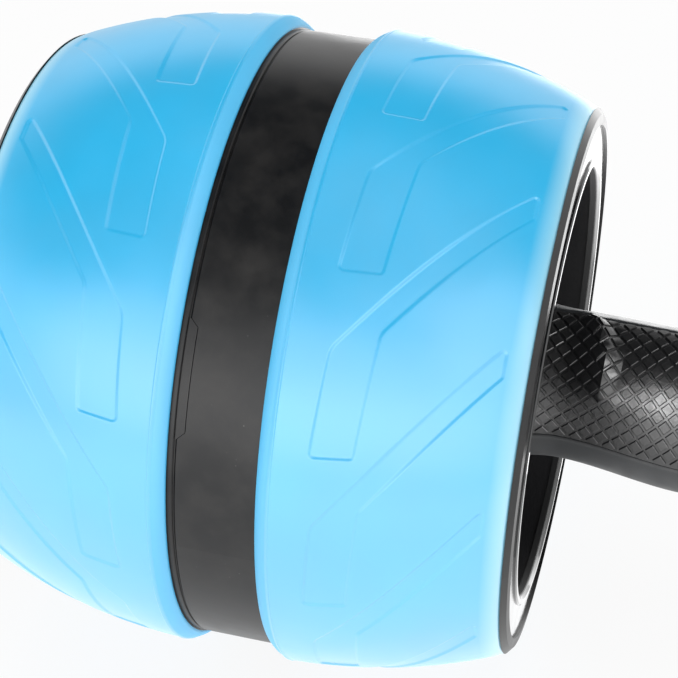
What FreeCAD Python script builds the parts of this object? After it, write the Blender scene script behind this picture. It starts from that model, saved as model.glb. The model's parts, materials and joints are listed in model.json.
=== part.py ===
"""Wide-barrel ab wheel roller with a spring-assisted return, modelled in millimetres.

The wheel's centre is the origin, its axle lies along Y and +Z is up. The right side is +Y.
"""
import FreeCAD, Part
import math
import operator
import os
import Sketcher
from FreeCAD import Placement, Rotation, Vector
from types import SimpleNamespace

# Driving dimensions, in millimetres, degrees and counts
DRIVING = {
    # Barrel wheel: crown radius, centre band, treads
    "wheel_radius": 95.0,
    "band_half_width": 12.3,
    "band_depth": 3.7,
    "tread_width": 65.0,
    "tread_fall": 13.9,
    "tread_thickness": 3.2,
    "shoulder_width": 4.0,
    "shoulder_height": 2.6,
    "shoulder_round": 5.0,
    # Drum shells: walls and rim lip
    "shell_wall": 3.0,
    "rim_overhang": 1.9,
    "rim_bevel": 4.85,
    "rim_crest": 2.9,
    "rim_crest_fall": 0.3,
    # Side dishes: the recess walls, their flanges and the hubs
    "recess_depth": 45.0,
    "dish_wall": 2.6,
    "dish_flange": 2.2,
    "dish_flange_thickness": 1.5,
    "lug_radius": 2.5,
    "lug_count": 6,
    "first_lug_angle": 30.0,
    "web_thickness": 4.0,
    "hub_wall": 7.0,
    "hub_boss": 8.0,
    "hub_inset": 4.0,
    # Interlocking seam in the centre band
    "seam_strip": 2.0,
    "seam_groove": 0.35,
    "seam_groove_depth": 0.6,
    "edge_break": 0.3,
    "tab_height": 2.2,
    "tab_length": 32.5,
    "tab_gap": 0.2,
    "tab_count": 3,
    "first_tab_angle": 32.0,
    "spigot_length": 9.0,
    "spigot_root": 8.0,
    # Side trim rings
    "ring_width": 12.65,
    "ring_thickness": 3.0,
    "ring_step": 0.8,
    "ring_bead": 3.0,
    "ring_round": 1.2,
    "ring_eave": 0.8,
    # Screws that hold the two shells together
    "post_radius": 4.3,
    "post_count": 6,
    "screw_head_radius": 3.3,
    "screw_head_height": 3.0,
    "screw_radius": 2.0,
    "screw_seat": 10.0,
    "screw_bite": 18.0,
    # Axle, bushes and retainers
    "axle_radius": 10.0,
    "axle_wall": 3.5,
    "axle_insert": 10.0,
    "bush_wall": 3.0,
    "bush_flange": 5.0,
    "flange_thickness": 2.0,
    "washer_width": 6.0,
    "washer_thickness": 1.5,
    "circlip_width": 4.0,
    "circlip_thickness": 1.2,
    "circlip_depth": 1.0,
    "circlip_angle": 320.0,
    # Return spring, its arbor and its case
    "arbor_wall": 4.0,
    "pin_radius": 2.5,
    "spring_turns": 10,
    "spring_strip": 1.0,
    "spring_width": 22.0,
    "case_sheet": 1.5,
    "case_flange": 11.5,
    "case_screw_radius": 2.0,
    "case_head_radius": 3.6,
    "case_head_height": 2.6,
    "case_screw_bite": 10.0,
    "boss_radius": 4.5,
    "boss_count": 4,
    "first_boss_angle": 45.0,
    "lid_skirt": 5.0,
    # Handles: the face's pitch, the collar over the axle and the grip's half sizes
    "grip_pitch": 50.0,
    "collar_wall": 4.0,
    "collar_length": 17.0,
    "grip_length": 138.0,
    "neck_at": 16.0,
    "swell_at": 56.0,
    "waist_at": 104.0,
    "root_top": 23.5,
    "root_bottom": 24.0,
    "root_front": 15.5,
    "root_rear": 15.5,
    "neck_top": 22.3,
    "neck_bottom": 22.0,
    "neck_front": 14.0,
    "neck_rear": 14.5,
    "swell_top": 21.3,
    "swell_bottom": 26.0,
    "swell_front": 19.0,
    "swell_rear": 17.0,
    "waist_top": 16.0,
    "waist_bottom": 22.0,
    "waist_front": 15.5,
    "waist_rear": 15.0,
    "end_top": 15.0,
    "end_bottom": 24.5,
    "end_front": 17.0,
    "end_rear": 16.0,
    "stop_start": 14.0,
    "stop_peak": 26.0,
    "stop_end": 31.5,
    "stop_height": 3.6,
    "stop_turn": 25.0,
    "stop_reach": 45.0,
    "section_step": 10.0,
    "top_spine": 2.4,
    "bottom_spine": 4.8,
    "pad_thickness": 2.6,
    "pad_gap": 0.25,
    "cap_length": 12.0,
    "cap_spigot_radius": 6.0,
    "cap_spigot_length": 10.0,
    # Snap buttons that hold the handles on the axle
    "button_radius": 3.4,
    "button_proud": 1.0,
    "button_chamfer": 0.8,
    "leaf_width": 9.0,
    "leaf_sheet": 0.8,
    "leaf_tail": 6.0,
    # Clearances
    "fit_gap": 0.05,
    "seat_gap": 0.1,
    "run_gap": 0.3,
}

SIDES = {"left": -1, "right": 1}
QUARTER_TURN = 90.0
HALF_TURN = 180.0
FULL_TURN = 360.0
TOUCHING = 1e-6
CURVE_POINTS = 9
# An end cap's rounding, as shares of its length and of the grip's last section
CAP_STEPS = ((0.0, 1.0), (0.45, 0.92), (0.8, 0.72), (1.0, 0.4))


class Size:
    """A length that carries its sheet expression beside its value."""

    def __init__(self, text, value):
        self.text = text
        self.value = value

    def __add__(self, other):
        return combined(self, "+", other)

    def __radd__(self, other):
        return combined(other, "+", self)

    def __sub__(self, other):
        return combined(self, "-", other)

    def __rsub__(self, other):
        return combined(other, "-", self)

    def __mul__(self, other):
        return combined(self, "*", other)

    def __rmul__(self, other):
        return combined(other, "*", self)

    def __truediv__(self, other):
        return combined(self, "/", other)

    def __neg__(self):
        return combined(-1, "*", self)


OPERATIONS = {"+": operator.add, "-": operator.sub, "*": operator.mul, "/": operator.truediv}


def as_size(value):
    """A plain number as a Size; a Size stays as it is."""
    if isinstance(value, Size):
        return value
    return Size(f"{value:.9f}", float(value))


def combined(left, sign, right):
    """The sum, difference, product or quotient of two sizes."""
    left = as_size(left)
    right = as_size(right)
    return Size(f"({left.text} {sign} {right.text})", OPERATIONS[sign](left.value, right.value))


def root(size):
    """The square root of a size."""
    return Size(f"sqrt({size.text})", math.sqrt(size.value))


def driving_sheet(document):
    """Writes the driving dimensions into a sheet and returns them as sizes."""
    sheet = document.addObject("Spreadsheet::Sheet", "Dims")
    sizes = {}
    for row, (name, value) in enumerate(DRIVING.items(), start=1):
        sheet.set(f"A{row}", name)
        sheet.set(f"B{row}", str(value))
        sheet.setAlias(f"B{row}", name)
        sizes[name] = Size(f"Dims.{name}", float(value))
    document.recompute()
    return SimpleNamespace(**sizes)


doc = FreeCAD.newDocument("ab_wheel_roller")
d = driving_sheet(doc)
nodes = []

# Barrel outline: an arc that is level at the centre band and falls to the outer edge
band_radius = d.wheel_radius - d.band_depth
tread_edge = d.band_half_width + d.tread_width
rim_face = tread_edge + d.rim_overhang
edge_radius = d.wheel_radius - d.tread_fall
crown_arc = (d.tread_width * d.tread_width + d.tread_fall * d.tread_fall) / (2 * d.tread_fall)
crown_centre = d.wheel_radius - crown_arc

# Seam between the shells, beside the band's left edge
seam = d.seam_strip - d.band_half_width
strip_edge = seam - d.tab_gap

# Rim, trim ring seat and side recess, whose dish hangs by a flange under the trim ring
ring_outer = edge_radius - d.rim_bevel
recess_radius = ring_outer - d.ring_width
channel_floor = rim_face - d.ring_thickness
dish_inner = recess_radius + d.ring_eave
dish_outer = dish_inner + d.dish_wall
dish_seat = dish_outer + d.fit_gap
flange_edge = dish_outer + d.dish_flange
flange_seat = flange_edge + d.fit_gap
flange_floor = channel_floor - d.dish_flange_thickness
recess_floor = rim_face - d.recess_depth
web_inner = recess_floor - d.web_thickness
post_circle = dish_seat + d.post_radius

# Hub, bushes and the stack of retainers outside them
bush_seat = d.axle_radius + d.bush_wall
hub_radius = bush_seat + d.hub_wall
hub_face = recess_floor + d.hub_boss
hub_inner = web_inner - d.hub_inset
washer_at = hub_face + d.flange_thickness + d.run_gap
circlip_at = washer_at + d.washer_thickness + d.seat_gap
collar_at = circlip_at + d.circlip_thickness + 2 * d.run_gap
grip_at = collar_at + d.collar_length
axle_half = grip_at + d.axle_insert
axle_bore = d.axle_radius - d.axle_wall

# Return spring between its arbor and its case
arbor_radius = d.axle_radius + d.arbor_wall
flange_radius = post_circle - d.post_radius - 2 * d.run_gap
case_outer = flange_radius - d.case_flange
case_inner = case_outer - d.case_sheet
boss_circle = flange_radius - d.case_flange / 2 + d.fit_gap
case_half = d.spring_width / 2 + d.run_gap
spring_reach = d.run_gap + d.spring_strip / 2
spring_pitch = (case_inner - arbor_radius - 2 * spring_reach) / d.spring_turns

# Snap buttons
collar_radius = d.axle_radius + d.collar_wall
button_at = collar_at + d.collar_length / 2
button_tip = collar_radius + d.button_proud
button_hole = d.button_radius + d.seat_gap
leaf_half = root(axle_bore * axle_bore - d.leaf_width * d.leaf_width / 4) - d.seat_gap


def barrel(depth, along):
    """Radius of the barrel arc, at a depth under the crown and a distance from the centre plane."""
    offset = along - d.band_half_width
    arc = crown_arc - depth
    return crown_centre + root(arc * arc - offset * offset)


def keep(piece, label):
    """Marks an object as one of the finished pieces."""
    piece.Label = label
    nodes.append(piece)


def bind(target, path, size):
    """Ties a property to the sheet."""
    target.setExpression(path, as_size(size).text)


def origin_plane(body, role):
    """One of a body's own origin planes."""
    return next(plane for plane in body.Origin.OriginFeatures if plane.Role == role)


def arc_between(start, end, radius):
    """An arc that bulges away from the wheel's axis."""
    chord = end - start
    middle = (start + end) / 2
    half = chord.Length / 2
    normal = Vector(chord.y, -chord.x, 0).normalize()
    if normal.x < 0:
        normal = -normal
    rise = radius - math.sqrt(radius * radius - half * half)
    return Part.Arc(start, middle + normal * rise, end)


def outline(body, name, corners):
    """A closed sketch through (radius, along) corners; a third size makes the side that follows an arc."""
    sketch = body.newObject("Sketcher::SketchObject", name)
    sketch.AttachmentSupport = (origin_plane(body, "XY_Plane"), [""])
    sketch.MapMode = "FlatFace"
    points = [Vector(as_size(radius).value, as_size(along).value, 0) for radius, along, *_ in corners]
    curves = {side: corner[2] for side, corner in enumerate(corners) if len(corner) > 2}
    count = len(points)
    first_vertex = []
    for side, point in enumerate(points):
        following = points[(side + 1) % count]
        if side in curves:
            sketch.addGeometry(arc_between(point, following, curves[side].value), False)
        else:
            sketch.addGeometry(Part.LineSegment(point, following), False)
        starts_here = sketch.getPoint(side, 1).distanceToPoint(point) < TOUCHING
        first_vertex.append(1 if starts_here else 2)
    for side in range(count):
        following = (side + 1) % count
        last_vertex = 3 - first_vertex[side]
        sketch.addConstraint(
            Sketcher.Constraint("Coincident", side, last_vertex, following, first_vertex[following]))
    for side, (radius, along, *_) in enumerate(corners):
        for kind, size in (("DistanceX", as_size(radius)), ("DistanceY", as_size(along))):
            index = sketch.addConstraint(
                Sketcher.Constraint(kind, -1, 1, side, first_vertex[side], size.value))
            bind(sketch, f"Constraints[{index}]", size)
    for side, radius in curves.items():
        index = sketch.addConstraint(Sketcher.Constraint("Radius", side, radius.value))
        bind(sketch, f"Constraints[{index}]", radius)
    return sketch


def turned(name, corners):
    """A body turned about the axle from its half outline."""
    body = doc.addObject("PartDesign::Body", name)
    sketch = outline(body, name + "_outline", corners)
    revolution = body.newObject("PartDesign::Revolution", name + "_turn")
    revolution.Profile = sketch
    revolution.ReferenceAxis = (sketch, ["V_Axis"])
    revolution.Angle = FULL_TURN
    return body


def around(angle):
    """Stands a piece along the axle, with its own X axis at an angle from +X towards +Z."""
    return Rotation(Vector(0, 1, 0), -angle) * Rotation(Vector(1, 0, 0), -QUARTER_TURN)


def rod(name, radius, start, length, circle=0, angle=0.0, sector=FULL_TURN):
    """A cylinder along the axle, at a circle's radius and an angle from +X towards +Z."""
    cylinder = doc.addObject("Part::Cylinder", name)
    cylinder.Placement = Placement(Vector(), around(angle))
    bind(cylinder, "Radius", radius)
    bind(cylinder, "Height", length)
    bind(cylinder, "Angle", sector)
    bind(cylinder, "Placement.Base.x", as_size(circle) * math.cos(math.radians(angle)))
    bind(cylinder, "Placement.Base.y", start)
    bind(cylinder, "Placement.Base.z", as_size(circle) * math.sin(math.radians(angle)))
    return cylinder


def low_end(sign, start, length):
    """Where a rod on either side starts, so that both sides mirror each other."""
    return start if sign > 0 else -(start + length)


def fused(name, pieces):
    """Several shapes joined into one solid."""
    union = doc.addObject("Part::MultiFuse", name)
    union.Shapes = pieces
    return union


def grouped(name, pieces):
    """Several separate solids in one object."""
    group = doc.addObject("Part::Compound", name)
    group.Links = pieces
    return group


def drilled(name, base, tools):
    """A shape with other shapes taken out of it."""
    cut = doc.addObject("Part::Cut", name)
    cut.Base = base
    cut.Tool = grouped(name + "_tools", tools)
    return cut


def spread(count, first=0.0):
    """Evenly spaced angles around the axle."""
    number = int(round(count.value))
    start = as_size(first).value
    return [start + FULL_TURN * index / number for index in range(number)]


def tread(side, sign):
    """Rubber tread: a curved ring bonded to its shell, with a rounded shoulder beside the band."""
    inner = d.band_half_width + d.fit_gap
    shoulder = d.band_half_width + d.shoulder_width
    seat = d.tread_thickness - d.fit_gap
    corners = [
        (d.wheel_radius - d.shoulder_height, sign * inner, d.shoulder_round),
        (barrel(0, shoulder), sign * shoulder, crown_arc),
        (edge_radius, sign * tread_edge),
        (barrel(seat, tread_edge), sign * tread_edge, crown_arc - seat),
        (barrel(seat, inner), sign * inner),
    ]
    keep(turned(side + "_tread", corners), side + "_tread")


def shell_corners(sign):
    """Half outline that both drum shells share, from the band's outer edge round to the inner wall."""
    rim_inner = tread_edge + d.fit_gap
    under_channel = channel_floor - d.shell_wall
    under = d.tread_thickness + d.shell_wall
    return [
        (band_radius, sign * d.band_half_width),
        (barrel(d.tread_thickness, d.band_half_width), sign * d.band_half_width,
         crown_arc - d.tread_thickness),
        (barrel(d.tread_thickness, rim_inner), sign * rim_inner),
        (edge_radius, sign * rim_inner),
        (ring_outer + d.rim_crest, sign * (rim_face - d.rim_crest_fall)),
        (ring_outer, sign * rim_face),
        (ring_outer, sign * channel_floor),
        (flange_seat, sign * channel_floor),
        (flange_seat, sign * flange_floor),
        (dish_seat, sign * flange_floor),
        (dish_seat, sign * under_channel),
        (barrel(under, under_channel), sign * under_channel, crown_arc - under),
    ]


def tab_block(name, root_at, gap, angle):
    """A block out from the axle whose ends lean at 45 degrees from the seam, wider by a gap all round."""
    half = d.tab_length / 2 + gap
    tip_at = seam + d.tab_height + gap
    lean = tip_at - seam
    corners = [
        (-half, root_at),
        (half, root_at),
        (half, seam),
        (half - lean, tip_at),
        (lean - half, tip_at),
        (-half, seam),
    ]
    body = doc.addObject("PartDesign::Body", name)
    block = body.newObject("PartDesign::Pad", name + "_pad")
    block.Profile = outline(body, name + "_outline", corners)
    bind(block, "Length", d.wheel_radius)
    body.Placement = Placement(Vector(), Rotation(Vector(0, 1, 0), QUARTER_TURN - angle))
    return body


def lug_notches(side, sign):
    """Notches in a drum's channel for the lugs that stop its dish from turning."""
    start = low_end(sign, flange_floor, d.ring_thickness)
    return [
        rod(f"{side}_lug_notch_{index}", d.lug_radius + d.seat_gap, start, d.ring_thickness,
            flange_edge, angle)
        for index, angle in enumerate(spread(d.lug_count, d.first_lug_angle))
    ]


def right_shell():
    """Right drum shell: it carries nearly all of the centre band and the deep screw posts."""
    band_inner = band_radius - d.shell_wall
    corners = shell_corners(1) + [
        (barrel(d.tread_thickness + d.shell_wall, d.band_half_width), d.band_half_width),
        (band_inner, d.band_half_width - d.shell_wall),
        (band_inner, seam),
        (band_radius - d.edge_break, seam),
        (band_radius, seam + d.edge_break),
    ]
    hollow = turned("right_shell_body", corners)
    posts = []
    holes = lug_notches("right", 1)
    for index, angle in enumerate(spread(d.post_count)):
        posts.append(rod(f"right_post_{index}", d.post_radius, 0, flange_floor, post_circle, angle))
        holes.append(rod(f"right_well_{index}", d.screw_head_radius + d.seat_gap, d.screw_seat,
                         rim_face, post_circle, angle))
        holes.append(rod(f"right_pilot_{index}", d.screw_radius + d.seat_gap, -d.shell_wall,
                         d.screw_seat + 2 * d.shell_wall, post_circle, angle))
    for index, angle in enumerate(spread(d.tab_count, d.first_tab_angle)):
        holes.append(tab_block(f"right_notch_{index}", seam - d.seam_strip, d.tab_gap, angle))
    solid = fused("right_shell_solid", [hollow] + posts)
    keep(drilled("right_shell", solid, holes), "right_shell")


def seam_tabs(spigot_outer):
    """Tabs on the left shell's spigot that fill the notches in the right shell's band."""
    tabs = []
    for index, angle in enumerate(spread(d.tab_count, d.first_tab_angle)):
        block = tab_block(f"left_block_{index}", strip_edge, as_size(0), angle)
        length = d.tab_gap + d.tab_height
        disc = rod(f"left_tab_disc_{index}", band_radius, strip_edge, length)
        core = rod(f"left_tab_core_{index}", spigot_outer - d.tab_gap, strip_edge, length)
        tab = doc.addObject("Part::MultiCommon", f"left_tab_{index}")
        tab.Shapes = [block, drilled(f"left_tab_ring_{index}", disc, [core])]
        tabs.append(tab)
    return tabs


def left_shell():
    """Left drum shell: spigot and tabs under the band, and the posts that the screws bite into."""
    spigot_outer = band_radius - d.shell_wall - d.tab_gap
    spigot_inner = spigot_outer - d.shell_wall
    spigot_root = -d.band_half_width - d.spigot_root
    spigot_end = seam + d.spigot_length
    under = d.tread_thickness + d.shell_wall
    corners = shell_corners(-1) + [
        (barrel(under, -spigot_root), spigot_root),
        (spigot_inner, spigot_root),
        (spigot_inner, spigot_end),
        (spigot_outer, spigot_end),
        (spigot_outer, strip_edge),
        (band_radius - d.seam_groove_depth, strip_edge),
        (band_radius - d.seam_groove_depth, strip_edge - d.seam_groove),
        (band_radius - d.edge_break, strip_edge - d.seam_groove),
        (band_radius, strip_edge - d.seam_groove - d.edge_break),
    ]
    added = seam_tabs(spigot_outer)
    holes = lug_notches("left", -1)
    for index, angle in enumerate(spread(d.post_count)):
        added.append(rod(f"left_post_{index}", d.post_radius, -flange_floor, flange_floor,
                         post_circle, angle))
        holes.append(rod(f"left_pilot_{index}", d.screw_radius + d.fit_gap,
                         -d.screw_bite - d.shell_wall, d.screw_bite + 2 * d.shell_wall,
                         post_circle, angle))
    solid = fused("left_shell_solid", [turned("left_shell_body", corners)] + added)
    keep(drilled("left_shell", solid, holes), "left_shell")


def dish_body(side, sign):
    """Turned part of a side dish: flange, recess wall, web and hub, with its lugs."""
    corners = [
        (flange_edge, sign * channel_floor),
        (dish_inner, sign * channel_floor),
        (dish_inner, sign * recess_floor),
        (hub_radius, sign * recess_floor),
        (hub_radius, sign * hub_face),
        (bush_seat, sign * hub_face),
        (bush_seat, sign * hub_inner),
        (hub_radius, sign * hub_inner),
        (hub_radius, sign * web_inner),
        (dish_outer, sign * web_inner),
        (dish_outer, sign * flange_floor),
        (flange_edge, sign * flange_floor),
    ]
    start = low_end(sign, flange_floor, d.dish_flange_thickness)
    lugs = [
        rod(f"{side}_lug_{index}", d.lug_radius, start, d.dish_flange_thickness, flange_edge, angle)
        for index, angle in enumerate(spread(d.lug_count, d.first_lug_angle))
    ]
    return [turned(side + "_dish_body", corners)] + lugs


def right_dish():
    """Right side dish, which holds its bush in the hub."""
    keep(fused("right_dish", dish_body("right", 1)), "right_dish")


def left_dish():
    """Left side dish, with bosses on its inner face for the spring case."""
    pieces = dish_body("left", -1)
    holes = []
    for index, angle in enumerate(spread(d.boss_count, d.first_boss_angle)):
        pieces.append(rod(f"left_boss_{index}", d.boss_radius, -web_inner - d.web_thickness / 2,
                          web_inner + d.web_thickness / 2 - case_half - d.case_sheet,
                          boss_circle, angle))
        holes.append(rod(f"left_boss_hole_{index}", d.case_screw_radius + d.fit_gap,
                         -case_half - d.case_sheet - d.case_screw_bite,
                         d.case_screw_bite + 2 * d.case_sheet, boss_circle, angle))
    solid = fused("left_dish_solid", pieces)
    keep(drilled("left_dish", solid, holes), "left_dish")


def trim_ring(side, sign):
    """Gloss ring in the rim's channel, covering the screws, with a raised bead round the recess."""
    low = rim_face - d.ring_step
    bead = recess_radius + d.ring_bead
    outer = ring_outer - d.seat_gap
    soft = d.ring_step / 2
    corners = [
        (recess_radius, sign * channel_floor),
        (outer, sign * channel_floor),
        (outer, sign * low),
        (bead, sign * low),
        (bead, sign * (rim_face - soft)),
        (bead - soft, sign * rim_face),
        (recess_radius + d.ring_round, sign * rim_face),
        (recess_radius, sign * (rim_face - d.ring_round)),
    ]
    keep(turned(side + "_trim_ring", corners), side + "_trim_ring")


def shell_screws():
    """Screws deep in the right shell's posts that pull the two shells together."""
    screws = []
    for index, angle in enumerate(spread(d.post_count)):
        head = rod(f"shell_screw_head_{index}", d.screw_head_radius, d.screw_seat,
                   d.screw_head_height, post_circle, angle)
        shank = rod(f"shell_screw_shank_{index}", d.screw_radius, -d.screw_bite,
                    d.screw_bite + d.screw_seat + d.screw_head_height / 2, post_circle, angle)
        screws.append(fused(f"shell_screw_{index}", [head, shank]))
    keep(grouped("shell_screws", screws), "shell_screws")


def axle():
    """Hollow axle with a groove for each circlip, a pin hole and a button hole near each end."""
    groove = d.axle_radius - d.circlip_depth
    near = circlip_at - d.seat_gap
    far = circlip_at + d.circlip_thickness + d.seat_gap
    corners = [
        (axle_bore, -axle_half),
        (d.axle_radius, -axle_half),
        (d.axle_radius, -far),
        (groove, -far),
        (groove, -near),
        (d.axle_radius, -near),
        (d.axle_radius, near),
        (groove, near),
        (groove, far),
        (d.axle_radius, far),
        (d.axle_radius, axle_half),
        (axle_bore, axle_half),
    ]
    tube = turned("axle_tube", corners)
    holes = [cross_rod("axle_pin_hole", d.pin_radius + d.seat_gap, 2 * arbor_radius)]
    for side, sign in SIDES.items():
        holes.append(button_bore(side + "_axle_hole", sign))
    keep(drilled("axle", tube, holes), "axle")


def cross_rod(name, radius, length):
    """A cylinder straight up through the axle at the wheel's centre."""
    cylinder = doc.addObject("Part::Cylinder", name)
    bind(cylinder, "Radius", radius)
    bind(cylinder, "Height", length)
    bind(cylinder, "Placement.Base.z", -length / 2)
    return cylinder


def button_bore(name, sign):
    """The hole that a snap button slides in, square to the handle's face."""
    cylinder = doc.addObject("Part::Cylinder", name)
    down = Rotation(Vector(0, 1, 0), -d.grip_pitch.value) * Rotation(Vector(1, 0, 0), HALF_TURN)
    cylinder.Placement = Placement(Vector(), down)
    bind(cylinder, "Radius", button_hole)
    bind(cylinder, "Height", button_tip)
    bind(cylinder, "Placement.Base.y", sign * button_at)
    return cylinder


def bush(side, sign):
    """Flanged plain bush pressed into a dish's hub, running on the axle."""
    bore = d.axle_radius + d.fit_gap
    outer = bush_seat - d.fit_gap
    flange = bush_seat + d.bush_flange
    corners = [
        (bore, sign * hub_inner),
        (outer, sign * hub_inner),
        (outer, sign * hub_face),
        (flange, sign * hub_face),
        (flange, sign * (hub_face + d.flange_thickness)),
        (bore, sign * (hub_face + d.flange_thickness)),
    ]
    keep(turned(side + "_bush", corners), side + "_bush")


def washer(side, sign):
    """Thrust washer between the bush's flange and the circlip."""
    start = low_end(sign, washer_at, d.washer_thickness)
    inner = d.axle_radius + d.fit_gap
    disc = rod(side + "_washer_disc", d.axle_radius + d.washer_width, start, d.washer_thickness)
    hole = rod(side + "_washer_hole", inner, start, d.washer_thickness)
    keep(drilled(side + "_washer", disc, [hole]), side + "_washer")


def circlip(side, sign):
    """Open retaining ring in the axle's groove."""
    start = low_end(sign, circlip_at, d.circlip_thickness)
    inner = d.axle_radius - d.circlip_depth + d.fit_gap
    disc = rod(side + "_circlip_disc", inner + d.circlip_width, start, d.circlip_thickness,
               sector=d.circlip_angle)
    hole = rod(side + "_circlip_hole", inner, start, d.circlip_thickness)
    keep(drilled(side + "_circlip", disc, [hole]), side + "_circlip")


def spring_arbor():
    """Sleeve on the axle that the return spring winds onto, held by a cross pin."""
    half = d.spring_width / 2
    sleeve = rod("arbor_sleeve", arbor_radius, -half, d.spring_width)
    bore = rod("arbor_bore", d.axle_radius + d.fit_gap, -half, d.spring_width)
    hole = cross_rod("arbor_pin_hole", d.pin_radius + d.seat_gap, 2 * d.wheel_radius)
    keep(drilled("spring_arbor", sleeve, [bore, hole]), "spring_arbor")


def arbor_pin():
    """Pin through the arbor and the axle."""
    keep(cross_rod("arbor_pin", d.pin_radius, 2 * (arbor_radius - d.run_gap)), "arbor_pin")


def half_circle(centre, radius, upper):
    """Half a circle about a point on the X axis, in the XZ plane."""
    rise = radius if upper else -radius
    start = Vector(centre + (radius if upper else -radius), 0, 0)
    middle = Vector(centre, 0, rise)
    end = Vector(centre - (radius if upper else -radius), 0, 0)
    return Part.Arc(start, middle, end).toShape()


def power_spring():
    """Flat spiral return spring, wound from half circles about two centres."""
    pitch = spring_pitch.value
    half_strip = d.spring_strip.value / 2
    first = arbor_radius.value + spring_reach.value + pitch / 4
    inside = []
    outside = []
    for step in range(2 * int(round(d.spring_turns.value))):
        upper = step % 2 == 0
        centre = -pitch / 4 if upper else pitch / 4
        radius = first + step * pitch / 2
        inside.append(half_circle(centre, radius - half_strip, upper))
        outside.append(half_circle(centre, radius + half_strip, upper))
    start = Part.LineSegment(inside[0].Vertexes[0].Point, outside[0].Vertexes[0].Point).toShape()
    end = Part.LineSegment(inside[-1].Vertexes[-1].Point, outside[-1].Vertexes[-1].Point).toShape()
    wire = Part.Wire(Part.__sortEdges__(inside + outside + [start, end]))
    width = d.spring_width.value
    strip = Part.Face(wire).extrude(Vector(0, width, 0))
    spring = doc.addObject("Part::Feature", "power_spring")
    spring.Shape = strip
    spring.Placement = Placement(Vector(0, -width / 2, 0), Rotation())
    print(f"return spring: gap between turns {pitch - 2 * half_strip:.2f} mm")
    keep(spring, "power_spring")


def spring_case():
    """Pressed-steel cup round the spring, flanged where it bolts to the left dish's bosses."""
    low = -case_half - d.case_sheet
    floor = -case_half
    bore = arbor_radius + d.run_gap
    corners = [
        (bore, low),
        (flange_radius, low),
        (flange_radius, floor),
        (case_outer, floor),
        (case_outer, case_half),
        (case_inner, case_half),
        (case_inner, floor),
        (bore, floor),
    ]
    cup = turned("spring_case_cup", corners)
    holes = [
        rod(f"case_hole_{index}", d.case_screw_radius + d.seat_gap, low - d.case_sheet,
            3 * d.case_sheet, boss_circle, angle)
        for index, angle in enumerate(spread(d.boss_count, d.first_boss_angle))
    ]
    keep(drilled("spring_case", cup, holes), "spring_case")


def spring_case_lid():
    """Cap pushed over the open side of the spring case."""
    skirt_inner = case_outer + d.fit_gap
    skirt_outer = skirt_inner + d.case_sheet
    top = case_half + d.case_sheet
    corners = [
        (arbor_radius + d.run_gap, case_half),
        (skirt_inner, case_half),
        (skirt_inner, case_half - d.lid_skirt),
        (skirt_outer, case_half - d.lid_skirt),
        (skirt_outer, top),
        (arbor_radius + d.run_gap, top),
    ]
    keep(turned("spring_case_lid", corners), "spring_case_lid")


def case_screws():
    """Screws that hold the spring case to the left dish."""
    screws = []
    for index, angle in enumerate(spread(d.boss_count, d.first_boss_angle)):
        head = rod(f"case_screw_head_{index}", d.case_head_radius, -case_half, d.case_head_height,
                   boss_circle, angle)
        shank_length = d.case_screw_bite + d.case_sheet + d.case_head_height / 2 - d.run_gap
        shank = rod(f"case_screw_shank_{index}", d.case_screw_radius,
                    d.run_gap - case_half - d.case_sheet - d.case_screw_bite, shank_length,
                    boss_circle, angle)
        screws.append(fused(f"case_screw_{index}", [head, shank]))
    keep(grouped("case_screws", screws), "case_screws")


def eased(places, out):
    """A value at a distance out, eased from each (distance, value) place to the next."""
    for (start, before), (end, after) in zip(places, places[1:]):
        if out <= end:
            break
    share = min(max((out - start) / (end - start), 0.0), 1.0)
    return before + (after - before) * share * share * (3 - 2 * share)


def grip_half(way, out):
    """The grip's half size towards the top, bottom, front or rear, at a distance out from its root."""
    places = {
        "root": 0.0,
        "neck": d.neck_at.value,
        "swell": d.swell_at.value,
        "waist": d.waist_at.value,
        "end": d.grip_length.value,
    }
    return eased([(at, getattr(d, f"{name}_{way}").value) for name, at in places.items()], out)


def stop_rise(out):
    """Height of the thumb stop's middle, which climbs slowly and falls steeply, at a distance out."""
    return eased([
        (d.stop_start.value, 0.0),
        (d.stop_peak.value, d.stop_height.value),
        (d.stop_end.value, 0.0),
    ], out)


def grip_stations():
    """Distances out at which the grip has a section: its main places, and steps between them."""
    places = [
        as_size(0),
        d.stop_start,
        d.stop_peak,
        d.stop_end,
        d.swell_at,
        d.waist_at,
        d.grip_length,
    ]
    stations = [0.0]
    for near, far in zip(places, places[1:]):
        stretch = far.value - near.value
        steps = math.ceil(stretch / d.section_step.value)
        stations.extend(near.value + stretch * (step + 1) / steps for step in range(steps))
    return stations


def grip_sections():
    """The grip's sections, with the thumb stop's height at each."""
    ways = ("top", "bottom", "front", "rear")
    return [
        SimpleNamespace(along=grip_at.value + out, stop=stop_rise(out),
                        **{way: grip_half(way, out) for way in ways})
        for out in grip_stations()
    ]


def stop_share(turn):
    """How much of the thumb stop's height is left at a turn: all at its middle, none past its reach."""
    off = (turn - d.stop_turn.value + HALF_TURN) % FULL_TURN - HALF_TURN
    share = min(abs(off) / d.stop_reach.value, 1.0)
    return math.cos(share * math.pi / 2) ** 2


def oval_point(section, sign, turn, inset=0.0, scale=1.0):
    """A point of an oval section, at a turn in degrees from the front towards the top."""
    across = math.cos(math.radians(turn))
    up = math.sin(math.radians(turn))
    inset = inset - section.stop * stop_share(turn)
    width = section.front if across > 0 else section.rear
    height = section.top if up > 0 else section.bottom
    normal = Vector(across / width, 0, up / height).normalize()
    middle = (section.top - section.bottom) / 2
    x = scale * (width * across - inset * normal.x)
    z = middle + scale * (height * up - inset * normal.z - middle)
    return Vector(x, sign * section.along, z)


def spine_turn(height, spine):
    """The turn at which the smooth spine starts, for an oval of this half height."""
    return math.degrees(math.asin(1 - spine / height))


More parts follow.
